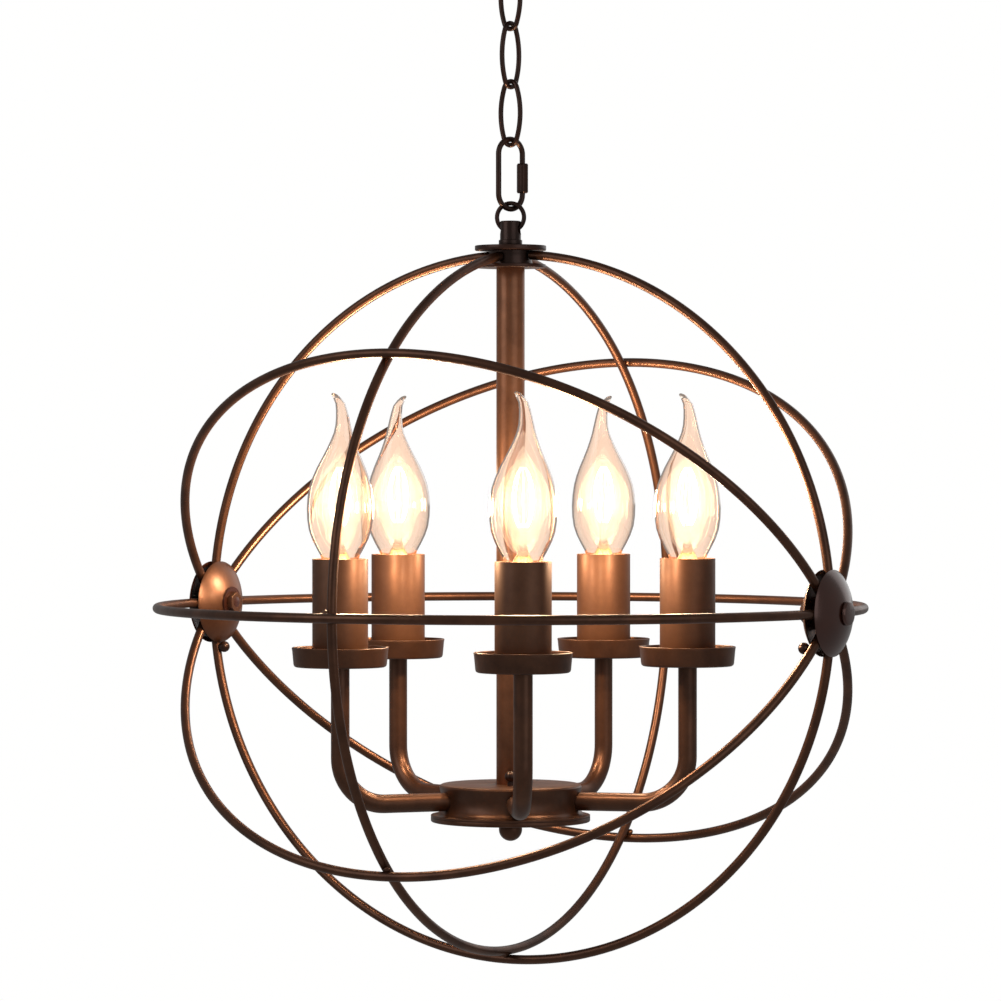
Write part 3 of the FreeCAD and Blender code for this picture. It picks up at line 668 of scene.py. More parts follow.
@dataclass
class Chain:
    """Three chain links, the quick link with its nut, and the ring.

    Attributes:
        finishes: The lamp's materials.
        half: Half a link's height on its wire's centre.
        side: Half its width there.
        end: Radius of its two ends.
        wire: Radius of its wire.
        heights: Heights of the links' middles.
        turns: Their turns about the chain's line.
        quick_z: Height of the quick link's middle.
        quick_half: Half its height on its wire's centre.
        quick_side: Half its width there, and the radius of its ends.
        quick_wire: Radius of its wire.
        quick_turn: Its turn about the chain's line.
        gap: Lower and upper end of the gap that the nut closes.
        nut: Lower and upper end of the nut.
        nut_radius: Radius over the nut's corners.
        nut_face: Radius of the nut's end faces.
        nut_bore: Radius of its bore.
        ring_z: Height of the ring's middle.
        ring_turn: Its turn about the chain's line.
        ring_radius: Its radius on its wire's centre.
        ring_foot: How far under its middle the flat foot lies.
        ring_bend: Radius of the bends into the foot.
        ring_wire: Radius of its wire.
    """

    finishes: Finishes
    half: float = 17.15
    side: float = 6.9
    end: float = 4.6
    wire: float = 1.35
    heights: tuple[float, float, float] = (-67.75, -99.05, -130.35)
    turns: tuple[float, float, float] = (-12, 78, -12)
    quick_z: float = -163.1
    quick_half: float = 18.75
    quick_side: float = 8.0
    quick_wire: float = 1.5
    quick_turn: float = 66.0
    gap: tuple[float, float] = (-9.0, -4.0)
    nut: tuple[float, float] = (-10.0, 6.0)
    nut_radius: float = 3.35
    nut_face: float = 2.9
    nut_bore: float = 1.8
    ring_z: float = -186.325
    ring_turn: float = 15.0
    ring_radius: float = 7.5
    ring_foot: float = 6.3
    ring_bend: float = 2.5
    ring_wire: float = 1.225

    def build(self) -> None:
        """Make the hanging pieces from the top down."""
        links = Bench.repeat(self.oval_link(), ["oval_link_%d" % i for i in (1, 2, 3)])
        for i, (link, body) in enumerate(zip(links, ("link_one", "link_two", "link_three"))):
            Bench.place(link, (0, 0, self.heights[i]), self.turns[i])
            dress(link, self.finishes.chain, body, Slot.BRONZE, "chain_link_%d" % (i + 1))
        for piece, height, turn, body, node in (
                (self.quick_link(), self.quick_z, self.quick_turn, "quick_link_body",
                 "quick_link"),
                (self.long_nut(), self.quick_z, self.quick_turn, "nut_body", "quick_link_nut"),
                (self.ring(), self.ring_z, self.ring_turn, "ring_body", "hanging_ring")):
            Bench.place(piece, (0, 0, height), turn)
            dress(piece, self.finishes.chain, body, Slot.BRONZE, node)

    def oval_link(self) -> bpy.types.Object:
        """Bend one oval link whose long sides bow out.

        Returns:
            The link, upright about the origin.
        """
        rise = self.half - self.end
        bow = (self.side ** 2 + rise ** 2 - self.end ** 2) / (2 * (self.side - self.end))
        part = math.degrees(math.asin(rise / (bow - self.end)))
        wire = Wire(self.wire, (self.side, 0))
        wire.bend((self.side - bow, 0), part, 8).bend((0, rise), 180 - 2 * part, 20)
        wire.bend((bow - self.side, 0), 2 * part, 16).bend((0, -rise), 180 - 2 * part, 20)
        wire.bend((self.side - bow, 0), part, 8)
        return wire.finish("oval_link")

    def quick_link(self) -> bpy.types.Object:
        """Bend the quick link, open behind its nut.

        Returns:
            The link, upright about the origin.
        """
        low, high = self.gap
        rise = self.quick_half - self.quick_side
        wire = Wire(self.quick_wire, (self.quick_side, high))
        wire.run((0, rise - high)).bend((0, rise), 180, 24).run((0, -2 * rise))
        wire.bend((0, -rise), 180, 24).run((0, rise + low))
        return wire.finish("screw_link", closed=False)

    def long_nut(self) -> bpy.types.Object:
        """Make the long six-sided nut with its chamfered ends.

        Returns:
            The nut on the quick link's leg.
        """
        low, high = self.nut
        chamfer = 0.7
        return Bench.lathe("long_nut", [
            (self.nut_bore, low), (self.nut_face, low), (self.nut_radius, low + chamfer),
            (self.nut_radius, high - chamfer), (self.nut_face, high), (self.nut_bore, high)],
            (self.quick_side, 0, 0), steps=6, bevel=0.25, smooth=20)

    def ring(self) -> bpy.types.Object:
        """Bend the ring that carries the lamp, flattened at its foot.

        Returns:
            The ring, upright about the origin.
        """
        reach = self.ring_radius - self.ring_bend
        low = self.ring_foot - self.ring_bend
        wide = math.sqrt(reach ** 2 - low ** 2)
        lean = math.degrees(math.asin(low / reach))
        wire = Wire(self.ring_wire, (self.ring_radius, 0))
        wire.bend((0, 0), 180 + lean, 40).bend((-wide, -low), 90 - lean, 8)
        wire.run((2 * wide, 0)).bend((wide, -low), 90 - lean, 8).bend((0, 0), lean, 10)
        return wire.finish("carrying_ring")


# ------------------------------------------------------------------ lamp
@dataclass(frozen=True)
class Lamp:
    """Sizes that the lamp's sub-assemblies share.

    Attributes:
        centre: Height of the cage's centre.
        shoulder: Height of the upper disc's top, where the loop stem's collar sits.
        cage: Radius of the cage on its rods' centres.
        rod: Radius of a rod.
        stud: Radius of a threaded stud.
        bore: Radius of the holes that the studs pass.
        drum_drop: Depth of the drum's foot under the centre.
        arm_circle: Radius of the circle that the candles stand on.
        arm_turn: Turn of the first arm from the front.
    """

    centre: float = -396.546
    shoulder: float = -201.6
    cage: float = 190.0
    rod: float = 2.5
    stud: float = 3.0
    bore: float = 3.1
    drum_drop: float = 113.0
    arm_circle: float = 97.5
    arm_turn: float = 33.0

    @property
    def crossing(self) -> float:
        """Radius at which the cage's rods touch the inner ring."""
        return self.cage - self.rod

    def spot(self, index: int) -> tuple[float, float, float]:
        """Find a candle's axis.

        Args:
            index: Its place in Spot.

        Returns:
            x and y in millimetres and its arm's direction in degrees from +X.
        """
        turn = self.arm_turn + 360 / len(Spot) * index - 90
        return (self.arm_circle * math.cos(math.radians(turn)),
                self.arm_circle * math.sin(math.radians(turn)), turn)


@dataclass
class TopHub:
    """Loop stem, two discs, the core between them and the centre tube.

    Attributes:
        finishes: The lamp's materials.
        lamp: The shared sizes.
        upper: Radius of the upper disc.
        upper_thick: Its thickness.
        core: Radius of the core.
        core_height: Its height, from disc to disc.
        lower: Radius of the lower disc.
        lower_thick: Its thickness.
        tube: Radius of the centre tube.
        shank: Depth of the stem's stud under the shoulder.
        collar: Radius of the stem's collar.
        collar_height: Its height.
        post: Radius of the stem.
        post_height: Its height over the shoulder.
        hole_drop: Depth of the cross hole under the stem's top.
        hole_throat: Radius of the hole in the middle.
        hole_mouth: Radius of its bell mouths.
        hole_turn: Its turn about the stem.
    """

    finishes: Finishes
    lamp: Lamp
    upper: float = 19.25
    upper_thick: float = 2.7
    core: float = 12.0
    core_height: float = 7.35
    lower: float = 19.0
    lower_thick: float = 2.0
    tube: float = 7.65
    shank: float = 22.0
    collar: float = 6.35
    collar_height: float = 3.0
    post: float = 5.65
    post_height: float = 13.3
    hole_drop: float = 4.3
    hole_throat: float = 1.55
    hole_mouth: float = 3.7
    hole_turn: float = 15.0

    def build(self) -> None:
        """Make the pieces on the lamp's axis above the drum."""
        dress(self.stem(), self.finishes.chain, "lamp", Slot.BRONZE, "loop_stem")
        bore = self.lamp.bore
        under = self.lamp.shoulder - self.upper_thick
        seat = under - self.core_height
        end = seat - self.lower_thick
        for name, node, radius, low, high in (
                ("top_plate", "upper_disc", self.upper, under, self.lamp.shoulder),
                ("under_plate", "lower_disc", self.lower, end, seat)):
            plate = Bench.lathe(name, [(bore, low), (radius, low), (radius, high), (bore, high)],
                                steps=80, bevel=0.45)
            dress(plate, self.finishes.chain, "lamp", Slot.BRONZE, node)
        core = Bench.lathe("weld_core", [
            (bore, seat), (self.core, seat), (self.core - 0.6, under - 4.8),
            (self.core - 0.5, under - 1.9), (self.core, under), (bore, under)],
            steps=56, bevel=0.3)
        dress(core, self.finishes.chain, "lamp", Slot.BRONZE, "top_core")
        low = self.lamp.centre - self.lamp.drum_drop
        tube = Bench.lathe("middle_tube", [
            (bore, low), (self.tube, low), (self.tube, end), (bore, end)], steps=56, bevel=0.25)
        # The centre tube wears the lighter bronze, which paints light onto it.
        dress(tube, self.finishes.tube, "lamp", Slot.BRONZE, "centre_tube")

    def stem(self) -> bpy.types.Object:
        """Turn the stem and cut its bell-mouthed cross hole.

        Returns:
            The stem with its collar and stud.
        """
        base, edge, fillet = self.lamp.shoulder, 0.5, 0.05
        seat, top = base + self.collar_height, base + self.post_height
        stem = Bench.lathe("loop_post", [
            (0, base - self.shank), (self.lamp.stud, base - self.shank), (self.lamp.stud, base),
            (self.collar, base), (self.collar, seat), (self.post, seat + fillet),
            (self.post, top - edge), (self.post - edge, top), (0, top)],
            closed=False, steps=56, bevel=0.25)
        reach = self.post + 1
        tool = Bench.lathe("mouths", [(0, -reach), (self.hole_mouth, -reach),
                                      (self.hole_throat, 0), (self.hole_mouth, reach),
                                      (0, reach)], closed=False, steps=40)
        Bench.place(tool, turn=90, axis="Y")
        Bench.place(tool, (0, 0, top - self.hole_drop), self.hole_turn)
        cut = stem.modifiers.new("cross hole", "BOOLEAN")
        cut.operation = "DIFFERENCE"
        cut.object = tool
        Bench.clear()
        bpy.context.view_layer.objects.active = stem
        stem.select_set(True)
        bpy.ops.object.modifier_apply(modifier=cut.name)
        bpy.ops.object.shade_smooth_by_angle(angle=math.radians(SHARP))
        bpy.data.objects.remove(tool, do_unlink=True)
        return stem


@dataclass
class Cage:
    """Nine bent rods, the inner ring and the weld beads where they cross.

    Attributes:
        finishes: The lamp's materials.
        lamp: The shared sizes.
        step: Degrees from one rod to the next about the hub axis.
        hub_gap: Distance of the rods' ends from the hub axis.
        core_gap: Distance of the upper rods' ends from the lamp's axis.
        ring: Radius of the inner ring on its wire's centre.
        ring_rise: Radius of the curves that lift its ends to the hub.
        ring_turn: Degrees above the level at which those curves start.
        sides: Facets round a rod.
        bead: Radius of a weld bead.
        bead_off: How far a bead lies from its crossing, along each rod.
        bead_sink: The share of its height that a bead loses to its crossing.
    """

    finishes: Finishes
    lamp: Lamp
    step: float = 45.0
    hub_gap: float = 9.0
    core_gap: float = 12.2
    ring: float = 184.8
    ring_rise: float = 220.0
    ring_turn: float = 55.0
    sides: int = 32
    bead: float = 1.9
    bead_off: float = 2.3
    bead_sink: float = 0.35

    def build(self) -> None:
        """Bend the rods and lay the beads."""
        hub = math.degrees(math.asin(self.hub_gap / self.lamp.cage))
        top = math.degrees(math.acos(self.core_gap / self.lamp.crossing))
        self.hang(self.rod(top - hub), ("top_right", "top_left"), (hub, 180 - top), (0, 0))
        names = ("upper_front", "front", "lower_front", "bottom", "lower_back", "back",
                 "upper_back")
        self.hang(self.rod(180 - 2 * hub), names, [hub] * len(names), range(1, 8))
        dress(self.inner_ring(), self.finishes.bronze, "lamp", Slot.BRONZE, "inner_ring")
        self.beads()

    def rod(self, span: float) -> bpy.types.Object:
        """Bend one rod of the cage.

        Args:
            span: Degrees that it bends through.

        Returns:
            The rod, from +X towards +Z about the origin.
        """
        Bench.ring(self.lamp.rod, (self.lamp.cage, 0, 0), sides=self.sides)
        Bench.spin(span, (0, 0, 0), (0, -1, 0), int(span))
        Bench.cap()
        return Bench.done("rod")

    def hang(self, rod: bpy.types.Object, names: Sequence[str], starts: Sequence[float],
             steps: Sequence[int]) -> None:
        """Set copies of a rod round the hub axis.

        Args:
            rod: The rod as bent.
            names: The names of the ribs that it makes.
            starts: Where each starts, in degrees from +X.
            steps: How many steps each is turned forwards from the top.
        """
        rods = Bench.repeat(rod, ["rib_%s_rod" % name for name in names])
        for piece, name, start, step in zip(rods, names, starts, steps):
            Bench.place(piece, turn=-start, axis="Y")
            Bench.place(piece, (0, 0, self.lamp.centre), self.step * step, "X")
            dress(piece, self.finishes.bronze, "lamp", Slot.BRONZE, "rib_" + name)

    def inner_ring(self) -> bpy.types.Object:
        """Bend the ring that crosses inside the others and rises to the core.

        Returns:
            The ring, square to the hub axis.
        """
        turn = self.ring_turn
        out = (self.ring - self.ring_rise) * math.cos(math.radians(turn))
        up = (self.ring - self.ring_rise) * math.sin(math.radians(turn))
        meet = math.degrees(math.acos((self.core_gap - out) / (self.ring_rise - self.lamp.rod)))
        end = (out + self.ring_rise * math.cos(math.radians(meet)), 0,
               up + self.ring_rise * math.sin(math.radians(meet)))
        Bench.ring(self.lamp.rod, end, (0, -meet, 0), sides=self.sides)
        for span, centre, steps in ((meet - turn, (out, 0, up), 20),
                                    (180 + 2 * turn, (0, 0, 0), 290),
                                    (meet - turn, (-out, 0, up), 20)):
            Bench.spin(-span, centre, (0, -1, 0), steps)
        Bench.cap()
        return Bench.place(Bench.done("inner_hoop"), (0, 0, self.lamp.centre), 90)

    def beads(self) -> None:
        """Lay a small weld bead in one corner of each crossing."""
        beads = []
        for step in range(1, 8):
            angle = math.radians(self.step * step)
            out = Vector((0, -math.sin(angle), math.cos(angle)))
            along = Vector((0, math.cos(angle), math.sin(angle)))
            crossing = out * self.lamp.crossing + Vector((0, 0, self.lamp.centre))
            side = 1 if step % 2 else -1
            ahead = 1 if step < 5 else -1
            corner = crossing + (Vector((side, 0, 0)) + along * ahead) * self.bead_off
            Bench.clear()
            bpy.ops.mesh.primitive_ico_sphere_add(subdivisions=3, radius=self.bead * MM,
                                                  location=corner * MM)
            bpy.ops.object.transform_apply(location=True, rotation=True, scale=True)
            bead = bpy.context.object
            for vertex in bead.data.vertices:
                lift = (vertex.co - crossing * MM).dot(out)
                vertex.co -= out * lift * self.bead_sink
            bpy.ops.object.shade_smooth()
            beads.append(bead)
        dress(Bench.join("weld_beads", beads), self.finishes.bronze, "lamp", Slot.BRONZE)


@dataclass
class SideHubs:
    """Domed discs, bolts and ball heads at the two ends of the hub axis.

    Attributes:
        finishes: The lamp's materials.
        lamp: The shared sizes.
        out_x: Distance of the outer domes' rims from the centre.
        in_x: Distance of the inner domes' rims.
        rim: Radius of a dome's outside at its rim.
        crown: Height of its outside.
        curve: Radius of its outside's curve.
        lining_rim: Radius of its inside at its rim.
        lining_crown: Height of its inside.
        lining_curve: Radius of its inside's curve.
        bolt_start: Distance of a bolt's end inwards from the inner rims.
        head: Radius of a bolt's head.
        nut: Radius over a nut's corners.
        nut_height: Height of a nut.
        spool: Radius of the spool between the domes.
        spool_ends: Its two ends, from the bolt's end.
        ball: Radius of a ball head.
        ball_off: Distance of the two balls on the cage from the hub axis.
        post_off: Distance of the third from the lamp's axis.
        post_turn: Its direction from the front, in degrees.
        post_drop: Depth of the drum's top, which it stands on.
        post_height: Height of its middle over the drum.
    """

    finishes: Finishes
    lamp: Lamp
    out_x: float = 191.506
    in_x: float = 185.908
    rim: float = 22.8
    crown: float = 8.0
    curve: float = 36.49
    lining_rim: float = 21.4
    lining_crown: float = 6.6
    lining_curve: float = 38.0
    bolt_start: float = 11.0
    head: float = 6.5
    nut: float = 6.0
    nut_height: float = 3.0
    spool: float = 8.6
    spool_ends: tuple[float, float] = (2.9, 19.3)
    ball: float = 3.1
    ball_off: float = 25.0
    post_off: float = 14.0
    post_turn: float = 29.0
    post_drop: float = 95.3
    post_height: float = 4.9

    def build(self) -> None:
        """Make both hubs."""
        places = [(side, name) for side in ("right", "left") for name in ("outer", "inner")]
        caps = Bench.repeat(self.dome(), ["%s_%s_cap" % place for place in places])
        for cap, (side, name) in zip(caps, places):
            sign = 1 if side == "right" else -1
            x, turn = (self.out_x, 90) if name == "outer" else (self.in_x, -90)
            Bench.place(cap, (x * sign, 0, self.lamp.centre), turn * sign, "Y")
            finish = self.finishes.polished if name == "outer" else self.finishes.arm
            dress(cap, finish, "lamp", Slot.BRONZE, "%s_%s_dome" % (side, name))
        self.bolts()
        self.balls()

    def dome(self) -> bpy.types.Object:
        """Press one domed disc, its edges rounded.

        Returns:
            The disc, its rim at height 0 and its crown up.
        """
        outside = self.dome_curve(self.rim, self.crown, self.curve)
        inside = self.dome_curve(self.lining_rim, self.lining_crown, self.lining_curve)
        return Bench.lathe("dome", [*outside, *reversed(inside)], steps=72, bevel=0.25)

    def dome_curve(self, rim: float, crown: float, curve: float) -> list[tuple[float, float]]:
        """Lay out one face of a dome from its rim to the bolt's hole.

        Args:
            rim: Its radius at the rim.
            crown: Its height on the axis.
            curve: The radius of its curve.

        Returns:
            (radius, height) corners.
        """
        steps = 12
        reaches = [rim - (rim - self.lamp.bore) * i / steps for i in range(steps + 1)]
        return [(reach, crown - curve + math.sqrt(curve ** 2 - reach ** 2)) for reach in reaches]

    def bolts(self) -> None:
        """Make the through bolts with round heads, their spools and nuts."""
        bore, stud, head = self.lamp.bore, self.lamp.stud, self.head
        under = self.out_x - self.in_x + 19
        low, high = self.spool_ends
        bolt = Bench.lathe("bolt", [
            (0, 0), (stud, 0), (stud, under), (head, under), (head, under + 1),
            (head - 0.6, under + 1.7), (head - 1.9, under + 2), (0, under + 2)],
            closed=False, steps=48, bevel=0.15)
        spool = Bench.lathe("spool", [(bore, low), (self.spool, low), (self.spool, high),
                                      (bore, high)], steps=40)
        nut = Bench.lathe("nut", [(bore, 0), (self.nut, 0), (self.nut, self.nut_height),
                                  (bore, self.nut_height)], steps=6, bevel=0.2, smooth=20)
        sets = [Bench.repeat(piece, (piece.name + "_right", piece.name + "_left"))
                for piece in (bolt, spool, nut)]
        start = self.in_x - self.bolt_start
        for pair in sets:
            for piece, sign in zip(pair, (1, -1)):
                Bench.place(piece, (start * sign, 0, self.lamp.centre), 90 * sign, "Y")
        bolts = Bench.join("hub_bolts", [*sets[0], *sets[1]])
        dress(bolts, self.finishes.polished, "lamp", Slot.BRONZE, "dome_bolts")
        dress(Bench.join("hub_nuts", sets[2]), self.finishes.arm, "lamp", Slot.BRONZE)

    def balls(self) -> None:
        """Make the three ball heads, the third on its short shank."""
        reach = math.sqrt((self.lamp.crossing - self.lamp.rod) ** 2 - self.ball_off ** 2)
        slope = self.ball_off * math.cos(math.radians(45))
        post_x = self.post_off * math.sin(math.radians(self.post_turn))
        post_y = -self.post_off * math.cos(math.radians(self.post_turn))
        Bench.clear()
        bpy.ops.mesh.primitive_uv_sphere_add(segments=32, ring_count=20, radius=self.ball * MM)
        bpy.ops.object.shade_smooth()
        heads = Bench.repeat(bpy.context.object, ("right_ball", "left_ball", "post_ball"))
        for head, (x, y, z) in zip(heads, ((reach, -slope, -slope), (-reach, 0, -self.ball_off),
                                           (post_x, post_y, self.post_height - self.post_drop))):
            Bench.place(head, (x, y, z + self.lamp.centre))
        shank = Bench.lathe("shank", [(0, 0), (1.5, 0), (1.5, self.post_height),
                                      (0, self.post_height)],
                            (post_x, post_y, self.lamp.centre - self.post_drop), closed=False,
                            steps=24)
        whole = Bench.join("ball_heads", [*heads, shank])
        dress(whole, self.finishes.chain, "lamp", Slot.BRONZE, "ball_screws")


@dataclass
class Drum:
    """The waisted drum that carries the arms, its base plate and ball finial.

    Attributes:
        finishes: The lamp's materials.
        lamp: The shared sizes.
        height: Height of the drum.
        hole: Radius of the hole that the tube passes.
        rim: Radius of the flared foot and of the base plate.
        plate: Thickness of the base plate.
        gap: Gap between the base plate and the drum.
        ball: Radius of the finial's ball.
        neck: Radius of its neck.
        stud: Length of its stud from the ball's middle.
        ball_drop: Depth of the ball's middle under the cage's centre.
    """

    finishes: Finishes
    lamp: Lamp
    height: float = 17.7
    hole: float = 7.85
    rim: float = 43.0
    plate: float = 2.45
    gap: float = 0.05
    ball: float = 6.3
    neck: float = 4.3
    stud: float = 16.8
    ball_drop: float = 119.8

    def build(self) -> None:
        """Make the pieces below the tube."""
        foot = self.lamp.centre - self.lamp.drum_drop
        outer = [(self.hole, self.height), (36.9, self.height), (37.9, 17.3), (38.4, 16.4),
                 (38.2, 14.8), (37.5, 12.6), (37.0, 10.2), (36.9, 8.2), (37.1, 6.0), (37.8, 3.8),
                 (39.0, 2.3), (41.0, 1.5), (self.rim, 1.2), (self.rim, 0)]
        inner = [(36.8, 0), (35.5, 6), (35.5, 12), (36.2, 16.2), (self.hole, 16.2)]
        shell = Bench.lathe("arm_drum", [*outer, *inner], (0, 0, foot), steps=96, bevel=0.2)
        dress(shell, self.finishes.arm, "lamp", Slot.BRONZE, "drum")
        bore, rim, edge = self.lamp.bore, self.rim, 0.5
        plate = Bench.lathe("bottom_plate", [
            (bore, 0), (rim - edge, 0), (rim, edge), (rim, self.plate), (bore, self.plate)],
            (0, 0, foot - self.gap - self.plate), steps=96, bevel=0.2)
        dress(plate, self.finishes.bronze, "lamp", Slot.BRONZE, "base_plate")
        dress(self.finial(), self.finishes.bronze, "lamp", Slot.BRONZE, "finial")

    def finial(self) -> bpy.types.Object:
        """Turn the ball with its neck and stud.

        Returns:
            The finial at its place.
        """
        outline = [(0, self.stud), (self.lamp.stud, self.stud), (self.lamp.stud, self.neck)]
        steps = 14
        start = math.asin(self.neck / self.ball)
        for i in range(steps):
            lift = start - (start + math.pi / 2) * i / steps
            outline.append((self.ball * math.cos(lift), self.ball * math.sin(lift)))
        outline.append((0, -self.ball))
        return Bench.lathe("ball_finial", outline, (0, 0, self.lamp.centre - self.ball_drop),
                           closed=False, steps=48)


# ------------------------------------------------------------------ candles
@dataclass
class Candles:
    """Five arms, each with its drip pan, sleeve and lit flame bulb.

    Attributes:
        finishes: The lamp's materials.
        lamp: The shared sizes.
        tips: Direction in which each bulb's tip is bent, in degrees from +X.
        arm: Radius of an arm's tube.
        arm_start: Where an arm starts, from the lamp's axis.
        arm_bend: Radius of its bend.
        arm_rise: Length of its upright stretch.
        arm_drop: Depth of its level run under the cage's centre.
        pan_drop: Depth of the pans' undersides.
        sleeve_drop: Depth of the sleeves' feet.
        rim_rise: Height of the sleeves' rims over the centre.
        sleeve: Outer radius of a sleeve.
        sleeve_wall: Its wall.
        cap_drop: Depth of a bulb's cap under its sleeve's rim.
        glass_wall: Wall of the glass.
        glass_top: Height of the tip's end over the rim.
        lining_top: Height of its inside's end.
        wires: Strands of the filament.
        foot: Height of the filament's foot over the rim.
        filament: Its height.
        light_rise: Height of the light's middle over the rim.
        light_size: Radius of the light in metres.
        power: Its power in watts.
        warm: Its colour.
    """

    finishes: Finishes
    lamp: Lamp
    tips: tuple[float, ...] = (30, 15, 195, 205, 25)
    arm: float = 5.0
    arm_start: float = 31.0
    arm_bend: float = 25.0
    arm_rise: float = 61.3
    arm_drop: float = 104.0
    pan_drop: float = 30.5
    sleeve_drop: float = 29.5
    rim_rise: float = 27.0
    sleeve: float = 14.85
    sleeve_wall: float = 1.0
    cap_drop: float = 3.8
    glass_wall: float = 0.8
    glass_top: float = 88.1
    lining_top: float = 85.9
    wires: int = 8
    foot: float = 17.5
    filament: float = 31.0
    light_rise: float = 30.0
    light_size: float = 0.012
    power: float = 0.95
    warm: Point = (1.0, 0.70, 0.42)

    def build(self) -> None:
        """Model each piece once and stand a copy of it at every arm."""
        finishes, centre = self.finishes, self.lamp.centre
        rim = centre + self.rim_rise
        self.bend_arms()
        self.stand(self.pan(), finishes.arm, Slot.BRONZE, "lamp", "pan_{}",
                   centre - self.pan_drop)
        self.stand(self.candle_sleeve(), finishes.sleeve, Slot.SLEEVE, "lamp", "sleeve_{}",
                   centre - self.sleeve_drop)
        self.stand(self.cap(), finishes.brass, Slot.CAP, "bulb_{}", "cap_{}",
                   rim - self.cap_drop)
        lit = [(self.glass(), finishes.glass, "glass_{}"), (self.glass_stem(), finishes.stem, ""),
               (self.hairpins(), finishes.filament, "")]
        lit += [(shell, finish, "") for shell, finish in zip(self.glows(), finishes.glow)]
        for piece, finish, node in lit:
            for copy in self.stand(piece, finish, Slot.GLASS, "bulb_{}", node, rim, self.tips):
                copy.visible_shadow = copy.visible_diffuse = copy.visible_glossy = False
        for index, spot in enumerate(Spot):
            self.light(index, "light_" + spot.value, rim + self.light_rise)
        refinish("lamp_holders", finishes.holder)

    def stand(self, piece: bpy.types.Object, finish: bpy.types.Material, slot: Slot, body: str,
              node: str, height: float, turns: Sequence[float] = (0,) * len(Spot)
              ) -> list[bpy.types.Object]:
        """Stand a copy of a piece on each candle's axis and dress it.

        In the names, {} is the place of the candle's own name.

        Args:
            piece: The piece about the origin, with the name of its copies.
            finish: Its finish.
            slot: The material slot.
            body: The body that a copy moves with.
            node: The node that it replaces, or nothing.
            height: The height of the piece's origin in millimetres.
            turns: How far each copy is turned, in degrees.

        Returns:
            The copies.
        """
        copies = Bench.repeat(piece, [piece.name.format(spot.value) for spot in Spot])
        for index, (copy, spot) in enumerate(zip(copies, Spot)):
            x, y, _ = self.lamp.spot(index)
            Bench.place(copy, (x, y, height), turns[index])
            nodes = [node.format(spot.value)] if node else []
            dress(copy, finish, body.format(spot.value), slot, *nodes)
        return copies

    def bend_arms(self) -> None:
        """Bend the tube that leaves the drum level and rises to the candle, and copy it."""
        corner = self.lamp.arm_circle - self.arm_bend
        Bench.ring(self.arm, (self.arm_start, 0, 0), (0, 90, 0), sides=28)
        Bench.push((corner - self.arm_start, 0, 0))
        Bench.spin(90, (corner, 0, self.arm_bend), (0, -1, 0), 20)
        Bench.push((0, 0, self.arm_rise))
        Bench.cap()
        arms = Bench.repeat(Bench.done("bent_arm"), ["bent_arm_" + spot.value for spot in Spot])
        for index, (arm, spot) in enumerate(zip(arms, Spot)):
            Bench.place(arm, (0, 0, self.lamp.centre - self.arm_drop), self.lamp.spot(index)[2])
            dress(arm, self.finishes.arm, "lamp", Slot.BRONZE, "arm_" + spot.value)

    @staticmethod
    def pan() -> bpy.types.Object:
        """Turn the drip pan with its flared wall."""
        return Bench.lathe("drip_pan_{}", [
            (5.2, 0), (23.6, 0), (24.5, 0.5), (24.85, 1.5), (25.5, 8.6), (25.8, 10.2),
            (25.5, 10.5), (24.9, 10.5), (24.7, 9.8), (23.9, 2.0), (23.3, 1.0), (5.2, 1.0)],
            steps=80, bevel=0.12)

    def candle_sleeve(self) -> bpy.types.Object:
        """Cut the sleeve that stands in the pan.

        Returns:
            The sleeve, its foot at height 0.
        """
        bore, height = self.sleeve - self.sleeve_wall, self.sleeve_drop + self.rim_rise
        return Bench.lathe("candle_sleeve_{}", [
            (bore, 0), (self.sleeve, 0), (self.sleeve, height), (bore, height)],
            steps=64, bevel=0.2)

    @staticmethod
    def cap() -> bpy.types.Object:
        """Turn the bulb's cap with its rounded thread.

        Returns:
            The cap, its top at height 0.
        """
        start, pitch = -20.4, 1.9
        outline = [(0, -24), (2.2, -24), (3.6, -22.6), (6.2, -21)]
        for i in range(9):
            outline += [(6.4, start + i * pitch), (7.0, start + 0.9 + i * pitch)]
        return Bench.lathe("bulb_base_{}", [*outline, (6.8, -2.6), (7.0, -1.8), (7.0, 0), (0, 0)],
                           closed=False, steps=40, bevel=0.1)

    def glass(self) -> bpy.types.Object:
        """Blow the clear shell with its bent tip.

        Returns:
            The shell, its sleeve's rim at height 0.
        """
        outer = [(radius, height) for radius, height, _ in GLASS]
        inner = [(max(radius - self.glass_wall, 0.3), height) for radius, height, _ in GLASS[:-2]]
        shell = Bench.lathe("shell", [*outer, (0, self.glass_top)], closed=False, steps=56,
                            smooth=80)
        lining = Bench.lathe("lining", [*inner, (0, self.lining_top)], closed=False, steps=56,
                             smooth=80)
        Bench.clear()
        lining.select_set(True)
        bpy.context.view_layer.objects.active = lining
        bpy.ops.object.mode_set(mode="EDIT")
        bpy.ops.mesh.select_all(action="SELECT")
        bpy.ops.mesh.flip_normals()
        bpy.ops.object.mode_set(mode="OBJECT")
        whole = Bench.join("flame_glass_{}", [shell, lining])
        for vertex in whole.data.vertices:
            vertex.co.x += MM * self.stray(vertex.co.z / MM)
        bpy.ops.object.mode_set(mode="EDIT")
        Bench.open_edges()
        bpy.ops.mesh.bridge_edge_loops()
        bpy.ops.object.mode_set(mode="OBJECT")
        return whole

    @staticmethod
    def stray(height: float) -> float:
        """Read how far the glass's axis has strayed at a height.

        Args:
            height: The height over the sleeve's rim.

        Returns:
            The stray in millimetres.
        """
        for low, high in zip(GLASS, GLASS[1:]):
            if height <= high[1]:
                share = max(0.0, (height - low[1]) / (high[1] - low[1]))
                return low[2] + (high[2] - low[2]) * share
        return GLASS[-1][2]

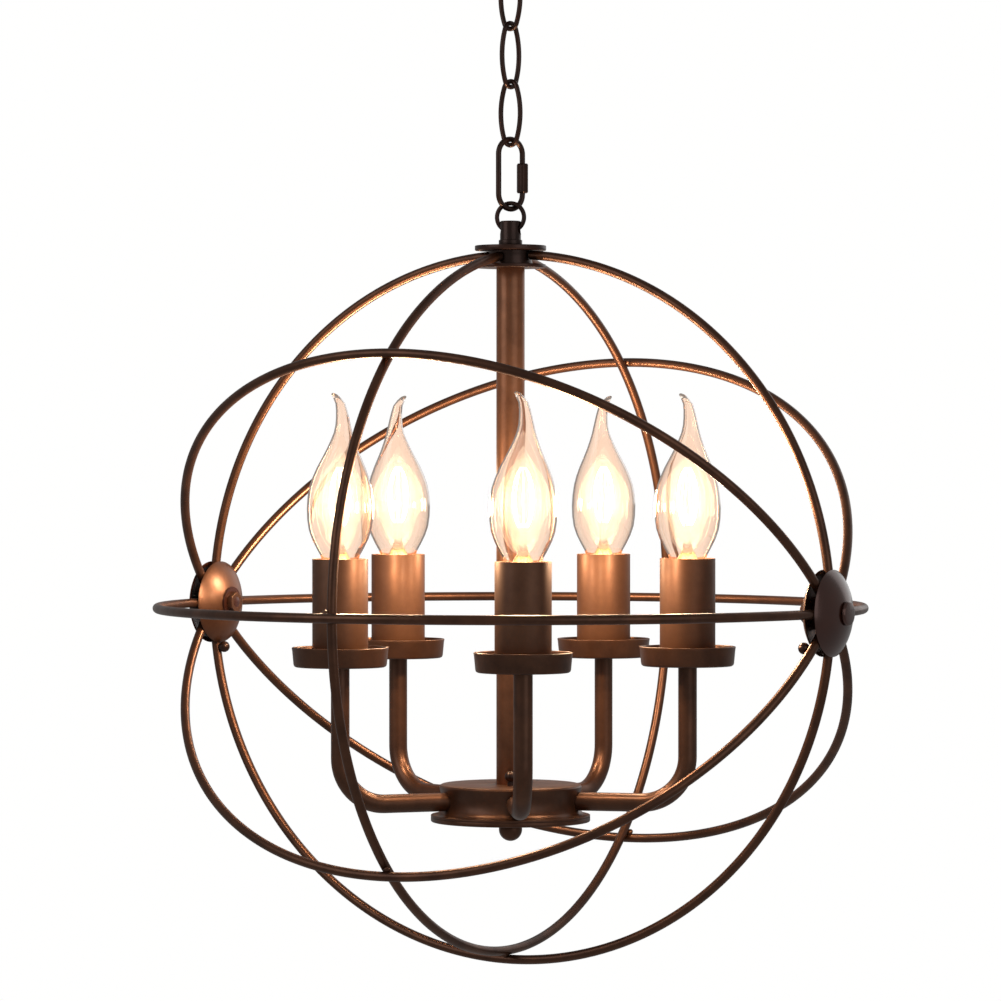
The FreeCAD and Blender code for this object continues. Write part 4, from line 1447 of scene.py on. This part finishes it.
    @staticmethod
    def glass_stem() -> bpy.types.Object:
        """Draw the glass stem that holds the filament."""
        return Bench.lathe("glass_stem_{}", [
            (7.6, -3.7), (5.2, 0.5), (3.0, 4.5), (2.0, 8.5), (1.7, 16), (2.3, 18.2), (1.2, 19.6),
            (0, 19.8)], closed=False, steps=32, smooth=80)

    def hairpins(self) -> bpy.types.Object:
        """Bend the filament's strands, which bulge and sway as they rise.

        Returns:
            The strands in one piece.
        """
        wire, start, bulge, close, sway, steps = 0.38, 2.2, 3.8, 0.9, 0.06, 12
        strands = []
        for i in range(self.wires):
            angle = math.tau * i / self.wires
            last = Vector((start * math.cos(angle), start * math.sin(angle), self.foot))
            Bench.ring(wire, tuple(last), sides=8)
            for step in range(1, steps + 1):
                share = step / steps
                reach = start + bulge * math.sin(math.pi * share) ** 0.7 - close * share
                turn = angle + sway * math.sin(step + i)
                here = Vector((reach * math.cos(turn), reach * math.sin(turn),
                               self.foot + self.filament * share))
                Bench.push(here - last)
                last = here
            Bench.cap()
            strands.append(Bench.done("hairpin"))
        return Bench.join("filament_{}", strands)

    @staticmethod
    def glows() -> list[bpy.types.Object]:
        """Turn the three nested shells that stand for the glow about the filament.

        Returns:
            The shells from the inside out.
        """
        shells, steps = [], 20
        for i, (wide, low, high) in enumerate(((7.0, 14, 53), (10.6, 7, 60), (14.4, 2, 68))):
            outline = [(0, low)]
            for step in range(1, steps):
                share = step / steps
                swell = math.sin(math.pi * share ** 0.8) ** 0.75 * (1 - 0.25 * share)
                outline.append((wide * swell, low + (high - low) * share))
            shells.append(Bench.lathe("glow_{}_%d" % i, [*outline, (0, high)], closed=False,
                                      steps=36, smooth=80))
        return shells

    def light(self, index: int, name: str, height: float) -> None:
        """Put a small warm light inside a bulb.

        Args:
            index: The candle's place in Spot.
            name: The light's name.
            height: Its height in millimetres.
        """
        x, y, _ = self.lamp.spot(index)
        bulb = bpy.data.lights.new(name, "POINT")
        bulb.energy = self.power
        bulb.color = self.warm
        bulb.shadow_soft_size = self.light_size
        light = bpy.data.objects.new(name, bulb)
        light.location = Vector((x, y, height)) * MM
        light.visible_transmission = False
        bpy.context.collection.objects.link(light)


# ------------------------------------------------------------------ studio
@dataclass
class Studio:
    """Floor, room light, soft lights and the camera.

    Attributes:
        lamp: The lamp's sizes, for the height that the camera looks at.
        azimuth: Degrees that the camera stands round from the front.
        elevation: Degrees that it stands above the cage's centre.
        distance: Its distance in millimetres.
        lens: Its focal length in millimetres.
        rise: How far above the centre it aims.
        left: How far left of it.
        ambient: How bright the room is to all but the camera and clear glass.
        floor_z: Height of the floor in metres.
        aim: The point that the soft lights face, in metres.
        softboxes: Name, place, side and power of each soft light, in metres and watts.
    """

    lamp: Lamp
    azimuth: float = 29.15
    elevation: float = 1.95
    distance: float = 2430.0
    lens: float = 162.0
    rise: float = 57.6
    left: float = 5.4
    ambient: float = 0.26
    floor_z: float = -3.0
    aim: Point = (0, 0, -0.4)
    softboxes: tuple[tuple[str, Point, float, float], ...] = (
        ("key light", (-1.1, -1.9, 0.6), 1.6, 9),
        ("fill light", (1.9, -0.9, 0.1), 1.6, 5),
        ("rim light", (0.3, 2.0, 0.5), 1.8, 6))

    def build(self) -> None:
        """Light the scene and set the camera."""
        self.floor()
        self.world()
        for name, at, size, energy in self.softboxes:
            self.softbox(name, at, size, energy)
        self.camera()

    def floor(self) -> None:
        """Lay the pale floor far below the lamp."""
        Bench.clear()
        bpy.ops.mesh.primitive_plane_add(size=30, location=(0, 0, self.floor_z))
        floor = bpy.context.object
        floor.name = "floor"
        material = bpy.data.materials.new("pale floor")
        material.use_nodes = True
        material.cycles.emission_sampling = "NONE"
        shader = material.node_tree.nodes["Principled BSDF"]
        shader.inputs["Base Color"].default_value = (0.93, 0.93, 0.925, 1)
        shader.inputs["Roughness"].default_value = 0.9
        shader.inputs["Emission Color"].default_value = (1, 1, 1, 1)
        path = material.node_tree.nodes.new("ShaderNodeLightPath")
        material.node_tree.links.new(path.outputs["Is Camera Ray"],
                                     shader.inputs["Emission Strength"])
        floor.data.materials.append(material)

    def world(self) -> None:
        """Fill the room with white light, dimmer to all but the camera and clear glass."""
        world = bpy.data.worlds.new("white room")
        world.use_nodes = True
        nodes, links = world.node_tree.nodes, world.node_tree.links
        back = nodes["Background"]
        back.inputs["Color"].default_value = (1.0, 1.0, 0.995, 1)
        path = nodes.new("ShaderNodeLightPath")
        seen = nodes.new("ShaderNodeMath")
        seen.operation = "MAXIMUM"
        level = nodes.new("ShaderNodeMapRange")
        level.inputs["To Min"].default_value = self.ambient
        links.new(path.outputs["Is Camera Ray"], seen.inputs[0])
        links.new(path.outputs["Is Transmission Ray"], seen.inputs[1])
        links.new(seen.outputs["Value"], level.inputs["Value"])
        links.new(level.outputs["Result"], back.inputs["Strength"])
        bpy.context.scene.world = world
        bpy.context.scene.view_settings.view_transform = "Standard"

    def softbox(self, name: str, at: Point, size: float, energy: float) -> None:
        """Hang one soft light.

        Args:
            name: The light's name.
            at: Its place in metres.
            size: Its side in metres.
            energy: Its power in watts.
        """
        box = bpy.data.lights.new(name, "AREA")
        box.size = size
        box.energy = energy
        light = bpy.data.objects.new(name, box)
        light.location = at
        light.rotation_euler = (Vector(self.aim) - Vector(at)).to_track_quat("-Z", "Y").to_euler()
        bpy.context.collection.objects.link(light)

    def camera(self) -> None:
        """Set the camera where the photograph was taken from."""
        a, e = math.radians(self.azimuth), math.radians(self.elevation)
        back = Vector((math.sin(a) * math.cos(e), -math.cos(a) * math.cos(e), math.sin(e)))
        middle = Vector((0, 0, self.lamp.centre)) * MM
        aim = middle + Vector((-self.left * math.cos(a), -self.left * math.sin(a), self.rise)) * MM
        lens = bpy.data.cameras.new("camera")
        lens.lens = self.lens
        lens.sensor_width = 36
        camera = bpy.data.objects.new("camera", lens)
        camera.location = middle + back * self.distance * MM
        camera.rotation_euler = (aim - camera.location).to_track_quat("-Z", "Y").to_euler()
        bpy.context.collection.objects.link(camera)
        bpy.context.scene.camera = camera


def main() -> None:
    """Build the whole lamp and the studio round it."""
    logging.basicConfig(level=logging.INFO)
    finishes = Finishes()
    lamp = Lamp()
    for assembly in (CeilingEnd(finishes), Chain(finishes), TopHub(finishes, lamp),
                     Cage(finishes, lamp), SideHubs(finishes, lamp), Drum(finishes, lamp),
                     Candles(finishes, lamp), Studio(lamp)):
        assembly.build()
        log.info("%s built", type(assembly).__name__)


if __name__ == "__main__":
    main()
